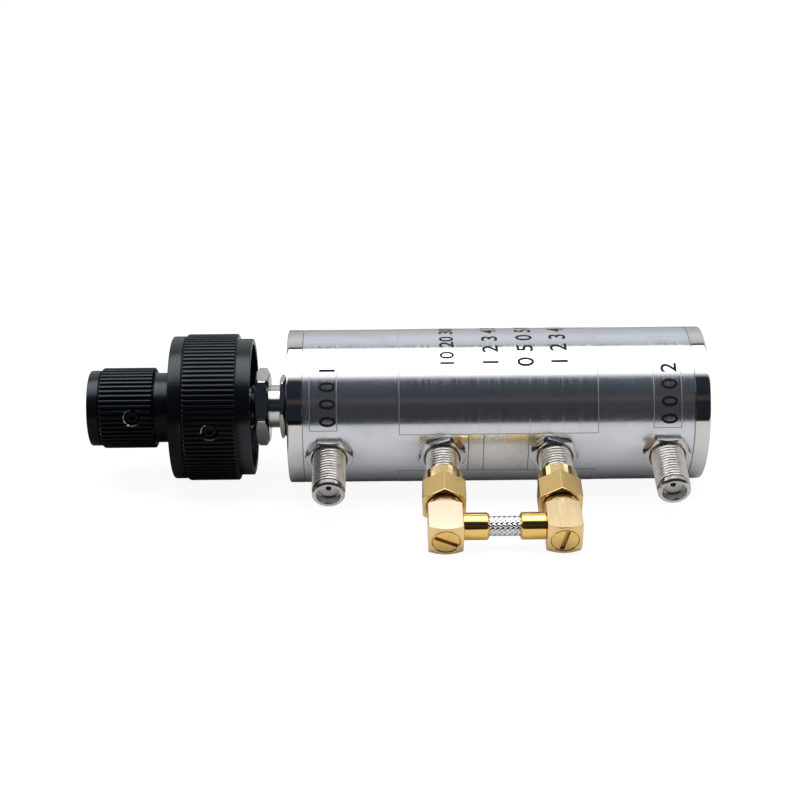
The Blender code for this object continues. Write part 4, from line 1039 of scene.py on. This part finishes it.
def makeCoupling(side, place):
    # a hexagon with square ends on a facetted collar, bored through
    nut = jumper["coupling"]
    shape = hexBar(nut["acrossFlats"], nut["bottom"], nut["top"], 30, nut["rounding"])
    roundSharp(shape, nut["edge"], above=60)
    shape = carve(shape, spun(nut["collar"], nut["facets"]), "UNION")
    shape = carve(shape, spun(nut["hollow"]))
    for face in shape.faces:
        middle = face.calc_center_median()
        upright = abs(face.normal.z) < 0.1 and middle.z > nut["bottom"]
        face.material_index = int(upright and middle.xy.length > nut["acrossFlats"] / 2 - 0.05)
    finishPiece(
        shape, side + "_coupling_hex", place, ("flutedGold", "satinGold"),
        side + "_coupling_nut", side + "_nut", smoothBelow=11,
    )


def makeElbow(side, place, lean, top):
    elbow = jumper["elbow"]
    start, end, width, endRadius = (elbow[key] for key in ("start", "end", "width", "endRadius"))
    corner = width / math.sqrt(2) + 0.3
    drop = (corner - endRadius) * math.tan(math.radians(30))
    block = spun([
        (0, end), (endRadius, end), (corner, end - drop), (corner, start + drop),
        (endRadius, start), (0, start),
    ], 128)
    cube = bmesh.new()
    bmesh.ops.create_cube(cube, size=1.0, matrix=Matrix.Diagonal((width, width, 20, 1)))
    roundUpright(cube, elbow["rounding"])
    leaning = moved(z=(start + end) / 2) @ turned(-lean, "X")
    bmesh.ops.transform(cube, matrix=leaning, verts=cube.verts)
    block = carve(block, cube, "INTERSECT")
    block = carve(block, spun(elbow["neck"]), "UNION")
    block = carve(block, spun(elbow["seat"]))
    # the top face, which looks up to the softbox, gets the paler gold: a painted highlight
    for face in block.faces:
        middle = face.calc_center_median()
        face.material_index = int(face.normal.y > 0.99 and middle.y > width / 2 - 0.2)
    finishPiece(
        block, side + "_elbow_block", place, ("milledGold", top),
        side + "_elbow", smoothBelow=20,
    )


def makeEndPlug(side, place, turn):
    plug = jumper["plug"]
    blade = sawBlade(*plug["slot"], turn, plug["top"])
    for face in blade.faces:
        face.material_index = 1
    finishPiece(
        carve(spun(plug["disc"]), blade), side + "_end_plug_disc", place,
        ("polishedGold", "sawnGold"), side + "_end_plug",
    )


def sideways(facing):
    # from a jack's place to the cable's, with Z along the barrel
    return moved(z=jumper["cable"]["height"]) @ turned(90 * facing, "Y")


def bandFamily(cable, middle, length, way):
    # the bands that wind one way, and pass over and under the other family
    family = bmesh.new()
    carriers, lay = cable["carriers"], cable["spacing"] * cable["carriers"]
    lean = math.atan2(math.tau * middle, lay)
    section = Matrix.Diagonal(
        (cable["bandThickness"] / 2, 1, cable["bandWidth"] / 2 / math.sin(lean), 1)
    )
    for carrier in range(carriers):
        place = turned(360 * carrier / carriers, "Z") @ moved(middle, 0, cable["start"])
        bmesh.ops.create_circle(
            family, segments=12, radius=1.0, matrix=place @ section @ turned(90, "X"),
        )
    steps = cable["steps"]
    turnRound(family, steps, length / steps, math.tau * length / lay, way)
    for corner in family.verts:
        turn = math.atan2(corner.co.y, corner.co.x)
        wave = way * cable["wave"] * math.cos(carriers * turn)
        reach = corner.co.xy.length + wave
        corner.co.xy = (reach * math.cos(turn), reach * math.sin(turn))
    bmesh.ops.holes_fill(family, edges=freeEdges(family.edges), sides=12)
    bmesh.ops.recalc_face_normals(family, faces=family.faces)
    return family


def makeBraid():
    # flat bands of tinned wire, wound both ways over a core
    cable = jumper["cable"]
    start = cable["start"]
    length = housing["jacks"][2] - housing["jacks"][1] - 2 * start
    middle = cable["radius"] - cable["bandThickness"] / 2 - cable["wave"]
    core, end = middle - 0.05, start + length
    shape = spun([(0, start), (core, start), (core, end), (0, end)], 48)
    for way in (1, -1):
        family = bandFamily(cable, middle, length, way)
        mesh = bpy.data.meshes.new("band")
        family.to_mesh(mesh)
        family.free()
        shape.from_mesh(mesh)
        bpy.data.meshes.remove(mesh)
    finishPiece(
        shape, "jumper_braid", radialPlace(housing["jacks"][1]) @ sideways(1), "tinnedWire",
        "jumper_cable", smoothBelow=70,
    )


def makeJumper():
    for side in ("left", "right"):
        number, facing, slotTurn, lean, top = jumper[side]
        place = radialPlace(housing["jacks"][number])
        makeCoupling(side, place)
        makeElbow(side, place, lean, top)
        makeEndPlug(side, place, slotTurn)
        finishPiece(
            spun(jumper["ferrule"]), side + "_ferrule_sleeve", place @ sideways(facing),
            "ferruleGold", side + "_ferrule",
        )
    makeBraid()


makeJumper()
print("stage: jumper made")

# labels and their print
labels = {
    "film": 0.03, "lift": 0.004, "ink": 0.01, "inkLift": 0.004, "edge": 0.16, "boldness": 0.05,
    "bendEvery": 0.8, "facets": 0.9, "figureHeight": 0.7,
    # each sheet's start and end along the shaft, and its angles round the barrel
    "sheets": {
        "wide_label": (21.3, 59.2, 17.5, 342.5),
        "left_port_label": (4.3, 9.6, 21.0, 98.0),
        "right_port_label": (69.6, 75.0, 21.0, 98.0),
    },
    # each row of numbers: its place along the shaft, its first angle, a figure's height
    "rows": {
        "scale_tens": ("10 20 30 40 50 60", 31.9, 68.0, 2.65),
        "scale_units": ("1 2 3 4 5 6 7 8", 40.4, 68.0, 3.0),
        "scale_fine": ("0 5 0 5 0 5 0 5", 47.1, 68.0, 3.1),
        "scale_ports": ("1 2 3 4 1 2 3 4", 53.6, 68.0, 3.2),
        "port_one": ("0 0 0 1", 9.2, 24.0, 3.0),
        "port_two": ("0 0 0 2", 74.1, 24.0, 3.0),
    },
}


def wrap(shape, along, angle, radius):
    # lays a flat drawing on the barrel: X goes up round it, Y towards the knobs, Z outwards
    for corner in shape.verts:
        turn = math.radians(270 - angle) - corner.co.x / radius
        reach = radius + corner.co.z
        corner.co = (reach * math.cos(turn), reach * math.sin(turn), along - corner.co.y)


def makeLabel(name, start, end, low, high):
    inner = housing["radius"] + labels["lift"]
    width, span = end - start, math.radians(high - low) * inner
    sheet = bmesh.new()
    bmesh.ops.create_grid(
        sheet, x_segments=max(8, round(span * labels["facets"])), y_segments=4, size=0.5,
        matrix=moved(span / 2, width / 2) @ Matrix.Diagonal((span, width, 1, 1)),
    )
    rim = bmesh.ops.inset_region(
        sheet, faces=sheet.faces[:], thickness=labels["edge"], use_boundary=True,
        use_even_offset=True,
    )["faces"]
    for face in rim:
        face.material_index = 1
    made = bmesh.ops.extrude_face_region(sheet, geom=sheet.faces[:])["geom"]
    bmesh.ops.translate(sheet, vec=(0, 0, labels["film"]), verts=cornersOf(made))
    wrap(sheet, end, low, inner)
    finishPiece(sheet, name, shaftPlace, ("brushedFilm", "filmEdge"))


def makeNumbers(name, text, along, angle, size):
    drawing = bpy.data.curves.new(name, "FONT")
    drawing.body = text
    drawing.size = size / labels["figureHeight"]
    drawing.extrude = labels["ink"] / 2
    drawing.offset = labels["boldness"]
    holder = bpy.data.objects.new(name, drawing)
    bpy.context.scene.collection.objects.link(holder)
    evaluated = holder.evaluated_get(bpy.context.evaluated_depsgraph_get())
    flat = bpy.data.meshes.new_from_object(evaluated)
    shape = bmesh.new()
    shape.from_mesh(flat)
    bpy.data.objects.remove(holder)
    bpy.data.meshes.remove(flat)
    # cuts across the figures, so that they can bend round the barrel
    reach = max(corner.co.x for corner in shape.verts)
    cut = labels["bendEvery"] / 2
    while cut < reach:
        cutAcross(shape, (cut, 0, 0), (1, 0, 0))
        cut += labels["bendEvery"]
    height = labels["lift"] + labels["film"] + labels["ink"] / 2 + labels["inkLift"]
    wrap(shape, along, angle, housing["radius"] + height)
    finishPiece(shape, name + "_print", shaftPlace, "blackInk")


for name, spans in labels["sheets"].items():
    makeLabel(name, *spans)
for name, row in labels["rows"].items():
    makeNumbers(name, *row)
print("stage: labels made")

# nodes that stay as they are, with their own finish
carried = {
    "outer_shaft": "shaftSteel", "inner_shaft": "shaftSteel",
    "left_plug_pin": "polishedGold", "right_plug_pin": "polishedGold",
}
for side in ("front", "rear"):
    carried[side + "_drum"] = "drumPlastic"
    carried[side + "_detent_wheel"] = "detentBrass"
    for part in ("ball", "spring", "plug"):
        carried[f"{side}_detent_{part}"] = "shaftSteel"
for node, look in carried.items():
    mesh = frame["nodes"][node].data
    mesh.materials.clear()
    mesh.materials.append(finish[look])
print("stage: carried nodes finished")

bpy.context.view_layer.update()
triangles = sum(
    len(face.vertices) - 2
    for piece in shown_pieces() if piece.type == "MESH" for face in piece.data.polygons
)
print("stage: everything placed,", triangles, "triangles")
